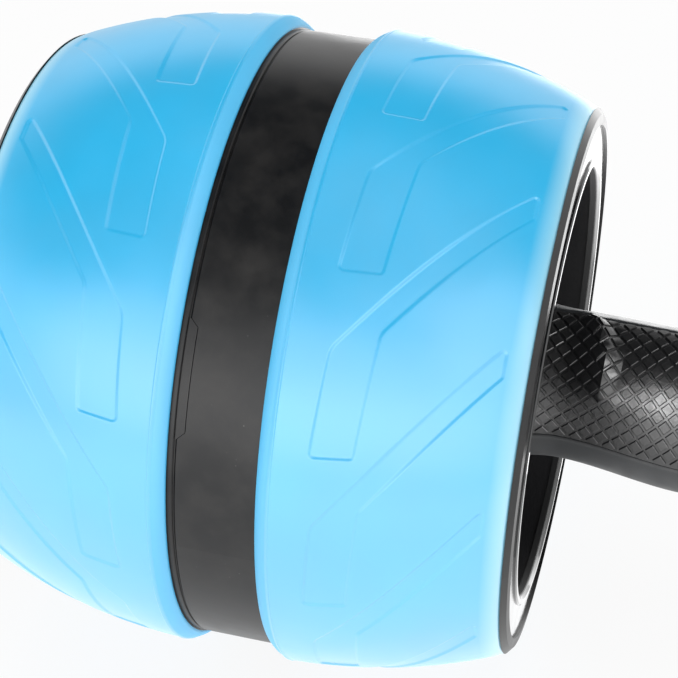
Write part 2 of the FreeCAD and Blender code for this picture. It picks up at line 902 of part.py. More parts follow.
def oval_curve(section, sign, start, end, inset=0.0, scale=1.0):
    """A smooth curve along a stretch of an oval section."""
    turns = [start + (end - start) * step / (CURVE_POINTS - 1) for step in range(CURVE_POINTS)]
    curve = Part.BSplineCurve()
    curve.interpolate([oval_point(section, sign, turn, inset, scale) for turn in turns])
    return curve.toShape()


def joined(edges):
    """A closed wire from curves that follow one another, with straight steps between their ends."""
    loop = []
    for index, edge in enumerate(edges):
        following = edges[(index + 1) % len(edges)]
        loop.append(edge)
        start = edge.valueAt(edge.LastParameter)
        end = following.valueAt(following.FirstParameter)
        if start.distanceToPoint(end) > TOUCHING:
            loop.append(Part.LineSegment(start, end).toShape())
    return Part.Wire(loop)


def core_wire(section, sign):
    """Section of a handle's core: the spines at full size, the two pad seats set in."""
    top = spine_turn(section.top, d.top_spine.value)
    bottom = spine_turn(section.bottom, d.bottom_spine.value)
    seat = (d.pad_thickness + d.pad_gap).value
    return joined([
        oval_curve(section, sign, top, HALF_TURN - top),
        oval_curve(section, sign, HALF_TURN - top, HALF_TURN + bottom, seat),
        oval_curve(section, sign, HALF_TURN + bottom, FULL_TURN - bottom),
        oval_curve(section, sign, -bottom, top, seat),
    ])


def pad_wire(section, sign, face):
    """Section of a rubber pad on the front or rear face."""
    top = spine_turn(section.top, (d.top_spine + d.pad_gap).value)
    bottom = spine_turn(section.bottom, (d.bottom_spine + d.pad_gap).value)
    start, end = (-bottom, top) if face == "front" else (HALF_TURN - top, HALF_TURN + bottom)
    return joined([
        oval_curve(section, sign, start, end),
        oval_curve(section, sign, end, start, d.pad_thickness.value),
    ])


def lofted(wires):
    """A solid ruled from each section wire to the next, with its faces outwards."""
    solid = Part.makeLoft(wires, True, True)
    if solid.Volume < 0:
        solid.reverse()
    return solid


def handle_piece(label, shape):
    """Adds a handle's piece, pitched about the axle."""
    piece = doc.addObject("Part::Feature", label)
    piece.Shape = shape
    piece.Placement = Placement(Vector(), Rotation(Vector(0, 1, 0), -d.grip_pitch.value))
    keep(piece, label)


def along_axle(radius, start, length, sign, height=0.0):
    """A plain cylinder along the axle on one side, for the handle's own shapes."""
    return Part.makeCylinder(radius.value, length.value, Vector(0, sign * start.value, height),
                             Vector(0, sign, 0))


def end_middle():
    """Height of the middle of the handle's end section."""
    return (d.end_top - d.end_bottom).value / 2


def handle_core(side, sign):
    """Rigid handle core: collar over the axle, smooth spines, seats for the pads."""
    grip = lofted([core_wire(section, sign) for section in grip_sections()])
    collar = along_axle(collar_radius, collar_at, d.collar_length, sign)
    bore = along_axle(d.axle_radius + d.fit_gap, collar_at, axle_half - collar_at + d.run_gap, sign)
    button = Part.makeCylinder(button_hole.value, button_tip.value,
                               Vector(0, sign * button_at.value, 0), Vector(0, 0, -1))
    grip_end = grip_at + d.grip_length
    socket = along_axle(d.cap_spigot_radius + d.fit_gap,
                        grip_end - d.cap_spigot_length - d.run_gap,
                        d.cap_spigot_length + d.run_gap, sign, end_middle())
    core = grip.fuse(collar).cut(bore).cut(button).cut(socket)
    handle_piece(side + "_handle_core", core)


def grip_pad(side, sign, face):
    """Soft pad on one face of a handle."""
    wires = [pad_wire(section, sign, face) for section in grip_sections()]
    handle_piece(f"{side}_{face}_pad", lofted(wires))


def end_cap(side, sign):
    """Rounded cap that plugs the handle's outer end."""
    last = grip_sections()[-1]
    grip_end = last.along
    rings = []
    for share, scale in CAP_STEPS:
        last.along = grip_end + share * d.cap_length.value
        starts = [QUARTER_TURN * quarter for quarter in range(4)]
        quarters = [oval_curve(last, sign, start, start + QUARTER_TURN, 0.0, scale) for start in starts]
        rings.append(Part.Wire(quarters))
    dome = lofted(rings)
    spigot = along_axle(d.cap_spigot_radius, grip_at + d.grip_length - d.cap_spigot_length,
                        d.cap_spigot_length + d.cap_spigot_radius, sign, end_middle())
    handle_piece(side + "_end_cap", dome.fuse(spigot))


def lock_button(side, sign):
    """Round snap button that stands out through the axle and the handle's collar."""
    base = leaf_half.value
    tip = button_tip.value
    stem = Part.makeCylinder(d.button_radius.value, tip - base,
                             Vector(0, sign * button_at.value, -tip), Vector(0, 0, 1))
    rim = [edge for edge in stem.Edges if abs(edge.BoundBox.ZMax + tip) < TOUCHING]
    handle_piece(side + "_lock_button", stem.makeChamfer(d.button_chamfer.value, rim))


def button_spring(side, sign):
    """Folded leaf inside the axle that pushes the button out."""
    outer = leaf_half.value
    inner = outer - d.leaf_sheet.value
    tail = sign * (button_at - d.leaf_tail).value
    bend = sign * (button_at + d.leaf_tail + d.button_radius / 2).value

    def at(along, height):
        return Vector(-d.leaf_width.value / 2, along, height)

    path = [
        Part.LineSegment(at(tail, -outer), at(bend, -outer)),
        Part.Arc(at(bend, -outer), at(bend + sign * outer, 0), at(bend, outer)),
        Part.LineSegment(at(bend, outer), at(tail, outer)),
        Part.LineSegment(at(tail, outer), at(tail, inner)),
        Part.LineSegment(at(tail, inner), at(bend, inner)),
        Part.Arc(at(bend, inner), at(bend + sign * inner, 0), at(bend, -inner)),
        Part.LineSegment(at(bend, -inner), at(tail, -inner)),
        Part.LineSegment(at(tail, -inner), at(tail, -outer)),
    ]
    face = Part.Face(Part.Wire([edge.toShape() for edge in path]))
    handle_piece(side + "_button_spring", face.extrude(Vector(d.leaf_width.value, 0, 0)))


def build():
    """Makes every piece of the roller."""
    for side, sign in SIDES.items():
        tread(side, sign)
        trim_ring(side, sign)
        bush(side, sign)
        washer(side, sign)
        circlip(side, sign)
        handle_core(side, sign)
        grip_pad(side, sign, "front")
        grip_pad(side, sign, "rear")
        end_cap(side, sign)
        lock_button(side, sign)
        button_spring(side, sign)
    right_shell()
    left_shell()
    right_dish()
    left_dish()
    shell_screws()
    axle()
    spring_arbor()
    arbor_pin()
    power_spring()
    spring_case()
    spring_case_lid()
    case_screws()
    doc.recompute()


def check():
    """Stops if any object failed or any finished piece is empty or not valid."""
    for item in doc.Objects:
        if "Invalid" in item.State or "Error" in item.State:
            raise RuntimeError(f"{item.Name} failed: {item.State}")
    for node in nodes:
        if node.Shape.isNull() or not node.Shape.isValid():
            raise RuntimeError(f"{node.Label} has no valid shape")
        if min(solid.Volume for solid in node.Shape.Solids) <= 0:
            raise RuntimeError(f"{node.Label} is inside out")


def export():
    """Writes each piece to its own file."""
    os.makedirs("parts", exist_ok=True)
    for node in nodes:
        node.Shape.exportStep(os.path.join("parts", node.Label + ".step"))
        print(f"{node.Label}: {len(node.Shape.Solids)} solid, {node.Shape.Volume / 1000:.2f} cm3")


build()
check()
export()
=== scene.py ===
"""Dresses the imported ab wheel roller: hooked rubber treads, knurled grips, moulded finishes, white studio."""

import functools
import json
import math
from types import SimpleNamespace

import bmesh
import bpy
from bpy.props import FloatProperty, FloatVectorProperty, IntProperty, PointerProperty
from mathutils import Matrix, Vector
from mathutils.geometry import delaunay_2d_cdt


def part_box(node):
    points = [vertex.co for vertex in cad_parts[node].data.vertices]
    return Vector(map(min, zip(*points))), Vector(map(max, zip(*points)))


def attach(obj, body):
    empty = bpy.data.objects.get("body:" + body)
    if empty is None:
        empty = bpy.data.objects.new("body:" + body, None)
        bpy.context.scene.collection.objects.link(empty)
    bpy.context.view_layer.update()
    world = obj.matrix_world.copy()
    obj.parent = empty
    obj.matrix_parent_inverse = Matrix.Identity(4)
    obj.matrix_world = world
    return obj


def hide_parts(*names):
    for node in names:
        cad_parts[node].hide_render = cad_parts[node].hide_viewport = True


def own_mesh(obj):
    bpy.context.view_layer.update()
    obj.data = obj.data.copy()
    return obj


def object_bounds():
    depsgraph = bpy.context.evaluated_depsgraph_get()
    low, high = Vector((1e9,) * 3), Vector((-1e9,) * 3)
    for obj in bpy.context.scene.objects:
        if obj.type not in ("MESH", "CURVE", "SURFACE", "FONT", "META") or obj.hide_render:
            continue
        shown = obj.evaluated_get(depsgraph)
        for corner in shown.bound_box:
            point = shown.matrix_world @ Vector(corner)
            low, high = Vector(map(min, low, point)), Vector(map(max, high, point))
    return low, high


bl_info = {
    "name": "Ab wheel roller",
    "version": (1, 0, 0),
    "blender": (4, 5, 0),
    "location": "View3D > Sidebar > Roller",
    "description": "Models the soft pieces and finishes of an ab wheel roller around its packed solids",
    "category": "Object",
}

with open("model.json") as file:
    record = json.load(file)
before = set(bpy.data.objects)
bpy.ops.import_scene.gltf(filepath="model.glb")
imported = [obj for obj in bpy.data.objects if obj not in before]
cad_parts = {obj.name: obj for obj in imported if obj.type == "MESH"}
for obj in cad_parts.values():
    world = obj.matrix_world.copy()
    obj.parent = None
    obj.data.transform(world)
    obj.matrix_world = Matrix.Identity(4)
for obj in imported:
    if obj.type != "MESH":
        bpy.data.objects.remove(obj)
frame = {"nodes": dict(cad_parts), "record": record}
CAD_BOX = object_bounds()
TREAD_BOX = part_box("right_tread")
CORE_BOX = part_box("right_handle_core")

MM = 0.001
FULL_TURN = 2 * math.pi
SIDES = {"left": -1, "right": 1}
# Distance under which a piece's doubles merge
MERGE = 0.02 * MM

# Hook sunk into the tread: mm across from the centre plane, degrees from the foot, corner radius in mm
HOOK_CORNERS = (
    (26.0, 0.0, 1.2),
    (27.8, 17.7, 7.0),
    (71.2, 53.2, 0.8),
    (71.2, 47.6, 1.2),
    (39.8, 21.3, 5.0),
    (37.3, 0.6, 1.2),
)
# Line that parts one hook's cell from the next: mm across, degrees from the foot
CELL_EDGE = (
    (16.0, -4.0),
    (34.0, -3.4),
    (38.0, -1.6),
    (44.0, 4.0),
    (70.0, 34.0),
    (72.5, 38.0),
    (78.0, 38.0),
)
# Spacing of the crown's points: degrees round it, length across it, length along a hook, room round a hook
CELL_STEP = 2.0
CELL_ROW = 2.4 * MM
HOOK_STEP = 1.0 * MM
HOOK_CLEAR = 0.9 * MM
# Fewest pieces of a rounded corner, and steps down a hook's wall, round the outer edge and along the seat
CORNER_PIECES = 4
WALL_STEPS = 4
EDGE_STEPS = 10
SEAT_STEPS = 9
# Shares of the way up the shoulder, and of the mould line's height at its back
FOOT_WAY = 0.02
SHOULDER_WAYS = (0.08, 0.2, 0.35, 0.5, 0.65, 0.8, 0.9)
BEAD_BACK = 0.9
# Flat triangulation: only what lies within the border, and distances that count as touching
WITHIN_BORDER = 1
TOUCHING = 1e-9
SAME_PLACE = 1e-6

# Handle sections: distance out from the root, then half size to the top, bottom, front and rear, in mm
GRIP_PLACES = (
    (0.0, 23.5, 24.0, 15.5, 15.5),
    (16.0, 22.3, 22.0, 14.0, 14.5),
    (56.0, 21.3, 26.0, 19.0, 17.0),
    (104.0, 16.0, 22.0, 15.5, 15.0),
    (138.0, 15.0, 24.5, 17.0, 16.0),
)
GRIP_WAYS = ("top", "bottom", "front", "rear")
# Thumb stop: share of its height at turns in degrees, the turn of its top end, and how hollow its climb is
STOP_SHARES = ((-20.0, 0.0), (4.0, 0.8), (20.0, 1.0), (46.0, 1.0), (64.0, 0.3), (76.0, 0.0))
STOP_TOP = 62.0
STOP_HOLLOW = 1.6
# Eased edges of a spine: share of its turn, lift
SPINE_EASE = ((0.0, -0.55 * MM), (0.02, -0.18 * MM), (0.05, 0.0))
# Collar's edges at its face and at the grip's root: mm along, mm in from its radius
COLLAR_FACE = ((0.0, 0.6), (0.2, 0.2), (0.6, 0.0))
COLLAR_ROOT = ((-1.0, 0.0), (-0.3, -0.3), (0.0, -1.0))
# Eased start of the grip: mm out from its root, lift in mm; and how far its outer end is set in
ROOT_EASE = ((0.0, -1.5), (0.2, -0.6), (0.7, -0.15), (1.5, 0.0))
END_INSET = 1.0 * MM
# Steps round a spine, round a pad's seat, along the grip and in the measure of a pad's width
SPINE_STEPS = 12
SEAT_ROWS = 8
CORE_STEPS = 68
PAD_STEPS = 12
# Decimal places of a metre to which a pad's sections are kept apart
SECTION_PLACES = 6
# Bend in degrees past which a handle's edges stay sharp
CORE_CREASE = 32.0
# Cutter of the button's hole
HOLE_SIDES = 48
HOLE_REACH = 12.0 * MM
# Cap: its rim as mm out and share of the grip's section, how full its dome is, and its steps and rows
CAP_RIM = ((0.1, 0.0), (0.1, 0.93), (0.35, 0.985), (0.9, 1.0))
CAP_FULLNESS = 0.7
CAP_STEPS = 18
CAP_ROWS = 65
# Studs: share of their height under the handle's skin, and the steps up them as mm in and share of the height
STUD_SUNK = 0.7
STUD_STEPS = ((0.1, 0.8), (0.14, 0.2))
# Knurling: merge along cut edges, width under which a sliver gets no stud, slack in telling the top face
CUT_MERGE = 0.3 * MM
SLIVER = 0.55 * MM
LEVEL_SLACK = 0.01 * MM

# Where a finish changes, from and to: distance across for the tread's edge and shoulder, otherwise radius
# Span across over which the tread's outer edge is painted paler, a painted sheen
EDGE_SHEEN_SPAN = (71.8 * MM, 77.3 * MM)
SHOULDER_END = (15.6 * MM, 16.6 * MM)
# Span of radius over which the shell takes its painted fill light within the recess
RECESS_FILL_LIGHT_SPAN = (64.6 * MM, 65.2 * MM)
BORE_EDGE = (63.7 * MM, 64.3 * MM)

# Stage: side of the floor, the place that most lamps face, and the height that the low ones face
FLOOR_SIDE = 8.0
MIDDLE = (0.0, 0.03, 0.0)
STAGE_TOP = 1.0
# Camera: width of its sensor in mm, and how near it sees
SENSOR_WIDTH = 36.0
NEAREST = 0.01
# The floor's paper where it takes the shadow, and plain white
PAPER = (0.9, 0.9, 0.9, 1.0)
WHITE = (1.0, 1.0, 1.0, 1.0)
# Surroundings in reflections, where they start and end to dim: upward part of the direction, brightness
DIM_START = (0.34, 1.0)
DIM_END = (0.54, 0.02)


def length(name, description, default):
    """A length in metres."""
    return FloatProperty(name=name, description=description, default=default, min=0.0, unit="LENGTH",
                         precision=5)


def angle(name, description, degrees):
    """An angle, given in degrees and kept in radians."""
    return FloatProperty(name=name, description=description, default=math.radians(degrees), subtype="ANGLE")


def share(name, description, default):
    """A plain share from nothing to one."""
    return FloatProperty(name=name, description=description, default=default, min=0.0, max=1.0,
                         subtype="FACTOR")


def colour(name, description, default):
    """A linear colour."""
    return FloatVectorProperty(name=name, description=description, default=default, size=3, min=0.0, max=1.0,
                               subtype="COLOR")


class TreadSizes(bpy.types.PropertyGroup):
    """Sizes of the two rubber treads."""

    crown: length("Crown radius", "Largest radius of the barrel", TREAD_BOX[1].z)
    inner: length("Inner edge", "Distance of the tread's inner edge from the centre plane", TREAD_BOX[0].y)
    outer: length("Outer edge", "Distance of the tread's outer edge from the centre plane", TREAD_BOX[1].y)
    fall: length("Fall", "Drop in radius from the crown to the outer edge", 13.9 * MM)
    thickness: length("Thickness", "Thickness of the rubber", 3.15 * MM)
    shoulder_width: length("Shoulder width", "Width of the bevel beside the band", 3.95 * MM)
    shoulder_height: length("Shoulder height", "Height of the bevel beside the band", 2.6 * MM)
    edge_lead: length("Edge lead", "Where the outer edge's rounding starts, back along the crown", 4.4 * MM)
    edge_drop: length("Edge drop", "Where the outer edge's rounding ends, down the side", 0.8 * MM)
    bulge: length("Shoulder bulge", "How far the shoulder bulges", 0.3 * MM)
    foot_drop: length("Foot drop", "Drop from the shoulder's foot to the seat's side", 0.3 * MM)
    bead: length("Shoulder bead", "Height of the thin mould line along the shoulder", 0.2 * MM)
    bead_top: length("Bead top", "Distance of the mould line's top from the shoulder", 0.25 * MM)
    bead_width: length("Bead width", "Width of the mould line", 0.55 * MM)
    hooks: IntProperty(name="Hooks", description="Hooks round each tread", default=12, min=3)
    hook_start: angle("First hook", "Turn of a hook's foot, from the front towards the top", 53.5)
    hook_depth: length("Hook depth", "How deep the hooks are sunk", 0.45 * MM)
    hook_wall: length("Hook wall", "Width of the sloped wall round a hook", 1.0 * MM)


class GripSizes(bpy.types.PropertyGroup):
    """Sizes of the two handles and their knurled pads."""

    pitch: angle("Pitch", "Turn of the handle's front face above the level", 50.0)
    end: length("Grip end", "Distance of the grip's outer end from the centre plane", CORE_BOX[1].y)
    span: length("Grip length", "Length of the grip from its root to its cap", 138.0 * MM)
    top_spine: length("Top spine", "Height of the smooth spine along the top", 2.4 * MM)
    bottom_spine: length("Bottom spine", "Height of the smooth spine along the bottom", 4.8 * MM)
    pad: length("Pad thickness", "Thickness of the rubber pads", 2.6 * MM)
    pad_up: length("Pad upper width", "Width from a pad's middle to the top spine, laid flat", 21.0 * MM)
    pad_down: length("Pad lower width", "Width from a pad's middle to the bottom spine, laid flat", 21.0 * MM)
    gap: length("Pad gap", "Gap round a pad", 0.25 * MM)
    knurl: length("Knurl pitch", "Distance from one groove to the next", 3.5 * MM)
    groove: length("Groove width", "Width of the grooves between the studs", 0.65 * MM)
    stud: length("Stud height", "Height of the studs over the grooves", 0.5 * MM)
    stop: length("Thumb stop", "Height of the thumb stop on the front pad", 3.6 * MM)
    stop_peak: length("Stop peak", "Distance of the thumb stop's peak from the grip's root", 27.3 * MM)
    stop_bend: length("Stop bend", "How far the peak bends back to the root at the top spine", 7.3 * MM)
    stop_climb: length("Stop climb", "Length of the thumb stop's climb from the root's side", 12.0 * MM)
    stop_fall: length("Stop fall", "Length of the thumb stop's fall on the palm's side", 5.0 * MM)
    collar: length("Collar radius", "Radius of the collar over the axle", 14.0 * MM)
    bore: length("Bore radius", "Radius of the bore for the axle", 10.06 * MM)
    bore_depth: length("Bore depth", "Depth of the bore for the axle", 27.2 * MM)
    hole_gap: length("Hole gap", "Gap round the lock button in its hole", 0.25 * MM)
    cap: length("Cap length", "Length of the rounded end cap", 12.0 * MM)
    press: length("Button travel", "How far a lock button goes in", 5.2 * MM)


class RollerColours(bpy.types.PropertyGroup):
    """Colours of the finishes."""

    tread: colour("Tread", "Blue rubber", (0.002, 0.48, 0.86))
    shell: colour("Shell", "Black satin plastic", (0.006, 0.0065, 0.0075))
    trim: colour("Trim ring", "Black gloss plastic", (0.008, 0.009, 0.01))
    handle: colour("Handle", "Dark grey satin plastic", (0.02, 0.023, 0.026))
    grip: colour("Grip", "Black rubber", (0.005, 0.0053, 0.006))
    steel: colour("Steel", "Bright steel", (0.56, 0.57, 0.58))
    spring: colour("Spring steel", "Blued spring steel", (0.16, 0.19, 0.24))
    nylon: colour("Nylon", "Natural nylon", (0.62, 0.6, 0.54))
    # Painted sheen: the colour the tread's outer edge is painted towards, standing in for light caught there
    pale: colour("Pale edge", "Outer edge of the blue rubber", (0.42, 0.8, 0.95))
    smudge: colour("Smudge", "Handled patches of the shell", (0.019, 0.018, 0.0175))
    # Painted fill light: the shell is painted lighter within the recess, where it lies in shade
    recess: colour("Recess", "Shell within the recess", (0.02, 0.02, 0.022))
    dust: colour("Dust", "Specks on the shell", (0.13, 0.125, 0.12))
    rubbed: colour("Rubbed", "Rubbed patches of the grip", (0.012, 0.0125, 0.0135))
    straw: colour("Straw", "Tempered patches of the spring", (0.34, 0.25, 0.13))


class StageSizes(bpy.types.PropertyGroup):
    """Camera, floor and light."""

    lens: FloatProperty(name="Lens", description="Focal length in millimetres", default=105.88, min=1.0)
    eye: FloatVectorProperty(name="Eye", description="Place of the camera", default=(0.43728, 0.126, 0.3959),
                             subtype="XYZ", unit="LENGTH", size=3)
    look: FloatVectorProperty(name="Look", description="Direction of the camera's view",
                              default=(-0.72927, -0.19087, -0.65706), subtype="DIRECTION", size=3)
    ambient: FloatProperty(name="Ambient", description="Light from all round", default=0.62, min=0.0)
    floor_white: share("Floor white", "How far the floor is plain white, over its shadow", 0.9)


def deselect():
    """Leaves nothing selected, in object mode."""
    if bpy.context.mode != "OBJECT":
        bpy.ops.object.mode_set(mode="OBJECT")
    bpy.ops.object.select_all(action="DESELECT")


def pick(piece):
    """Makes one piece the only selected and the active one."""
    deselect()
    piece.select_set(True)
    bpy.context.view_layer.objects.active = piece


def edit(piece):
    """Opens a piece in edit mode with all of it selected."""
    pick(piece)
    bpy.ops.object.mode_set(mode="EDIT")
    bpy.ops.mesh.select_mode(type="VERT")
    bpy.ops.mesh.select_all(action="SELECT")


def drawn(name, points, edges=(), faces=()):
    """A new piece from its points, edges and faces."""
    mesh = bpy.data.meshes.new(name)
    mesh.from_pydata(points, edges, faces)
    piece = bpy.data.objects.new(name, mesh)
    bpy.context.scene.collection.objects.link(piece)
    return piece


def wrapped_grid(name, columns, rows, place):
    """A grid laid over the surface that place gives for a column's and a row's number."""
    deselect()
    bpy.ops.mesh.primitive_grid_add(x_subdivisions=columns - 1, y_subdivisions=rows - 1, size=1.0)
    piece = bpy.context.object
    piece.name = name
    if len(piece.data.vertices) != columns * rows:
        raise RuntimeError(f"{name}: the grid has {len(piece.data.vertices)} points, not {columns * rows}")
    for vertex in piece.data.vertices:
        column = round((vertex.co.x + 0.5) * (columns - 1))
        row = round((vertex.co.y + 0.5) * (rows - 1))
        vertex.co = place(column, row)
    return piece


def dressed(piece, body, slot, nodes, crease):
    """Closes a piece's seams, turns its faces outwards, smooths it and puts it in place of its CAD nodes."""
    edit(piece)
    bpy.ops.mesh.remove_doubles(threshold=MERGE)
    bpy.ops.mesh.normals_make_consistent(inside=False)
    bpy.ops.object.mode_set(mode="OBJECT")
    bpy.ops.object.shade_smooth_by_angle(angle=math.radians(crease))
    piece.data.materials.clear()
    piece.data.materials.append(finish_for(slot))
    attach(piece, body)
    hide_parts(*nodes)


def follow(places, at):
    """The value at a place along straight lines between (place, value) pairs."""
    for (start, before), (end, after) in zip(places, places[1:]):
        if at <= end:
            break
    return before + (after - before) * (at - start) / (end - start)


def eased(places, at):
    """A value eased from each (place, value) pair to the next."""
    for (start, before), (end, after) in zip(places, places[1:]):
        if at <= end:
            break
    way = min(max((at - start) / (end - start), 0.0), 1.0)
    return before + (after - before) * way * way * (3 - 2 * way)


# Treads


def rounded(corners, step):
    """A closed outline with its (x, y, radius) corners rounded, as points about a step apart."""
    points = []
    for index, (x, y, radius) in enumerate(corners):
        corner = Vector((x, y))
        back = (Vector(corners[index - 1][:2]) - corner).normalized()
        onward = (Vector(corners[(index + 1) % len(corners)][:2]) - corner).normalized()
        half = back.angle(onward) / 2
        reach = radius / math.tan(half)
        centre = corner + (back + onward).normalized() * (radius / math.sin(half))
        start = corner + back * reach - centre
        end = corner + onward * reach - centre
        sweep = math.pi - 2 * half
        pieces = max(CORNER_PIECES, math.ceil(sweep * radius / step))
        if points:
            points.extend(between(points[-1], centre + start, step))
        for number in range(pieces + 1):
            way = number / pieces
            arm = start * math.sin((1 - way) * sweep) + end * math.sin(way * sweep)
            points.append(centre + arm / math.sin(sweep))
    points.extend(between(points[-1], points[0], step))
    return points


def between(start, end, step):
    """The points about a step apart between two places, without the places."""
    pieces = max(1, math.ceil((end - start).length / step))
    return [start.lerp(end, number / pieces) for number in range(1, pieces)]


def offset_loop(loop, distance):
    """A closed outline moved to the right of its way round, which is inwards where that is clockwise."""
    moved = []
    for index, point in enumerate(loop):
        way = (loop[(index + 1) % len(loop)] - loop[index - 1]).normalized()
        moved.append(point + Vector((way.y, -way.x)) * distance)
    return moved


def encloses(loop, point):
    """Whether a closed outline goes round a point."""
    within = False
    for index, end in enumerate(loop):
        start = loop[index - 1]
        if (start.y > point.y) != (end.y > point.y):
            if point.x < start.x + (end.x - start.x) * (point.y - start.y) / (end.y - start.y):
                within = not within
    return within


def on_or_in(loop, point):
    """Whether a point is on a closed outline or within it."""
    return encloses(loop, point) or any((point - other).length < SAME_PLACE for other in loop)


class Crown:
    """The tread's crown: its arc, and the flat sheet that is wrapped round it."""

    def __init__(self, size):
        width = size.outer - size.inner
        self.size = size
        self.arc = (width * width + size.fall * size.fall) / (2 * size.fall)
        self.centre = size.crown - self.arc
        self.start = size.inner + size.shoulder_width + size.bead_width
        self.end = size.outer - size.edge_lead
        self.per_degree = math.radians(size.crown)

    def radius(self, across, depth=0.0):
        """Radius of the crown at a distance across, at a depth under it."""
        off = across - self.size.inner
        return self.centre + math.sqrt((self.arc - depth) ** 2 - off * off)

    def wrapped(self, side, across, around, depth):
        """A place on the tread from a place on the flat sheet."""
        radius = self.radius(across)
        sunk = depth / self.arc
        along = across - sunk * (across - self.size.inner)
        out = radius - sunk * (radius - self.centre)
        turn = self.size.hook_start + math.radians(around / self.per_degree)
        return Vector((out * math.cos(turn), side * along, out * math.sin(turn)))

    def cell_edge(self, across):
        """Place round the sheet of the line between two cells."""
        return follow(CELL_EDGE, across / MM) * self.per_degree


def hook_loops(crown):
    """The closed lines round a hook on the flat sheet, from outside its wall's rim to within its floor."""
    corners = [(across * MM, turn * crown.per_degree, radius * MM) for across, turn, radius in HOOK_CORNERS]
    loop = rounded(corners, HOOK_STEP)
    loops = []
    for step in range(-1, WALL_STEPS + 2):
        sunk = eased([(0, 0.0), (WALL_STEPS, crown.size.hook_depth)], step)
        loops.append((offset_loop(loop, (step / WALL_STEPS - 0.5) * crown.size.hook_wall), sunk))
    return loops


def cell_points(crown, columns):
    """The flat sheet's own points in one cell, as a loop round its border and a list within it."""
    rows = math.ceil((crown.end - crown.start) / CELL_ROW)
    step = CELL_STEP * crown.per_degree
    lines = []
    for row in range(rows + 1):
        across = crown.start + (crown.end - crown.start) * row / rows
        first = crown.cell_edge(across)
        lines.append([Vector((across, first + step * column)) for column in range(columns + 1)])
    border = lines[0] + [line[-1] for line in lines[1:]]
    border += lines[-1][-2::-1] + [line[0] for line in lines[-2:0:-1]]
    return border, [point for line in lines[1:-1] for point in line[1:-1]]


def cell_sheet(crown, columns, rim, floor):
    """One cell's crown outside a hook's rim, and the hook's floor, as flat points and triangles."""
    border, inner = cell_points(crown, columns)
    inner = [point for point in inner if all((point - other).length > HOOK_CLEAR for other in rim + floor)]
    edges = []
    first = 0
    for loop in (border, rim, floor):
        edges.extend((first + index, first + (index + 1) % len(loop)) for index in range(len(loop)))
        first += len(loop)
    flat = border + rim + floor + inner
    laid, _, triangles, _, _, _ = delaunay_2d_cdt(flat, edges, [], WITHIN_BORDER, TOUCHING)
    depths = [crown.size.hook_depth if on_or_in(floor, point) else 0.0 for point in laid]
    points = [(point.x, point.y, depth) for point, depth in zip(laid, depths)]
    faces = []
    for face in triangles:
        middle = sum((laid[index] for index in face), Vector((0.0, 0.0))) / len(face)
        if encloses(floor, middle) or not encloses(rim, middle):
            faces.append(tuple(face))
    return points, faces


def hook_cell(crown, columns):
    """One cell of the crown with its hook, as flat (across, around, depth) points and faces."""
    loops = hook_loops(crown)
    points, faces = cell_sheet(crown, columns, loops[0][0], loops[-1][0])
    for (upper, above), (lower, below) in zip(loops, loops[1:]):
        start = len(points)
        points.extend((point.x, point.y, above) for point in upper)
        points.extend((point.x, point.y, below) for point in lower)
        count = len(upper)
        for index in range(count):
            after = (index + 1) % count
            faces.append((start + index, start + after, start + count + after, start + count + index))
    return points, faces


def edge_section(crown):
    """The tread's rounded outer edge, from the crown's outer end down to its side, as (across, radius)."""
    size = crown.size
    corner = Vector((size.outer, size.crown - size.fall))
    lead = Vector((crown.end, crown.radius(crown.end)))
    after = corner - Vector((0.0, size.edge_drop))
    points = [lead]
    for step in range(1, EDGE_STEPS + 1):
        way = step / EDGE_STEPS
        points.append(lead.lerp(corner, way).lerp(corner.lerp(after, way), way))
    return points


def seat_section(crown):
    """The tread's underside, from its outer edge to its inner one, as (across, radius)."""
    size = crown.size
    points = []
    for step in range(SEAT_STEPS + 1):
        across = size.outer + (size.inner - size.outer) * step / SEAT_STEPS
        points.append(Vector((across, crown.radius(across, size.thickness))))
    return points


def shoulder_section(crown):
    """The tread's bulged shoulder and the mould line along its head, as (across, radius)."""
    size = crown.size
    foot = Vector((size.inner, size.crown - size.shoulder_height))
    head = Vector((size.inner + size.shoulder_width, crown.radius(size.inner + size.shoulder_width)))
    out = Vector((foot.y - head.y, head.x - foot.x)).normalized()
    points = [foot - Vector((0.0, size.foot_drop)), foot + (head - foot) * FOOT_WAY]
    for way in SHOULDER_WAYS:
        points.append(foot.lerp(head, way) + out * (4 * size.bulge * way * (1 - way)))
    points.append(head + out * size.bead * BEAD_BACK)
    points.append(head + Vector((size.bead_top, size.bead)))
    points.append(Vector((crown.start, crown.radius(crown.start))))
    return points


def tread_ring(name, sign, crown, columns):
    """The rest of a tread round its hooked crown, spun round the axle."""
    section = edge_section(crown) + seat_section(crown) + shoulder_section(crown)
    first = crown.size.hook_start + math.radians(CELL_EDGE[0][1])
    rim = [Vector((p.y * math.cos(first), sign * p.x, p.y * math.sin(first))) for p in section]
    ring = drawn(name + "_ring", rim, edges=[(index, index + 1) for index in range(len(rim) - 1)])
    edit(ring)
    bpy.ops.mesh.spin(steps=columns * crown.size.hooks, angle=FULL_TURN, center=(0, 0, 0), axis=(0, 1, 0))
    bpy.ops.object.mode_set(mode="OBJECT")
    return ring


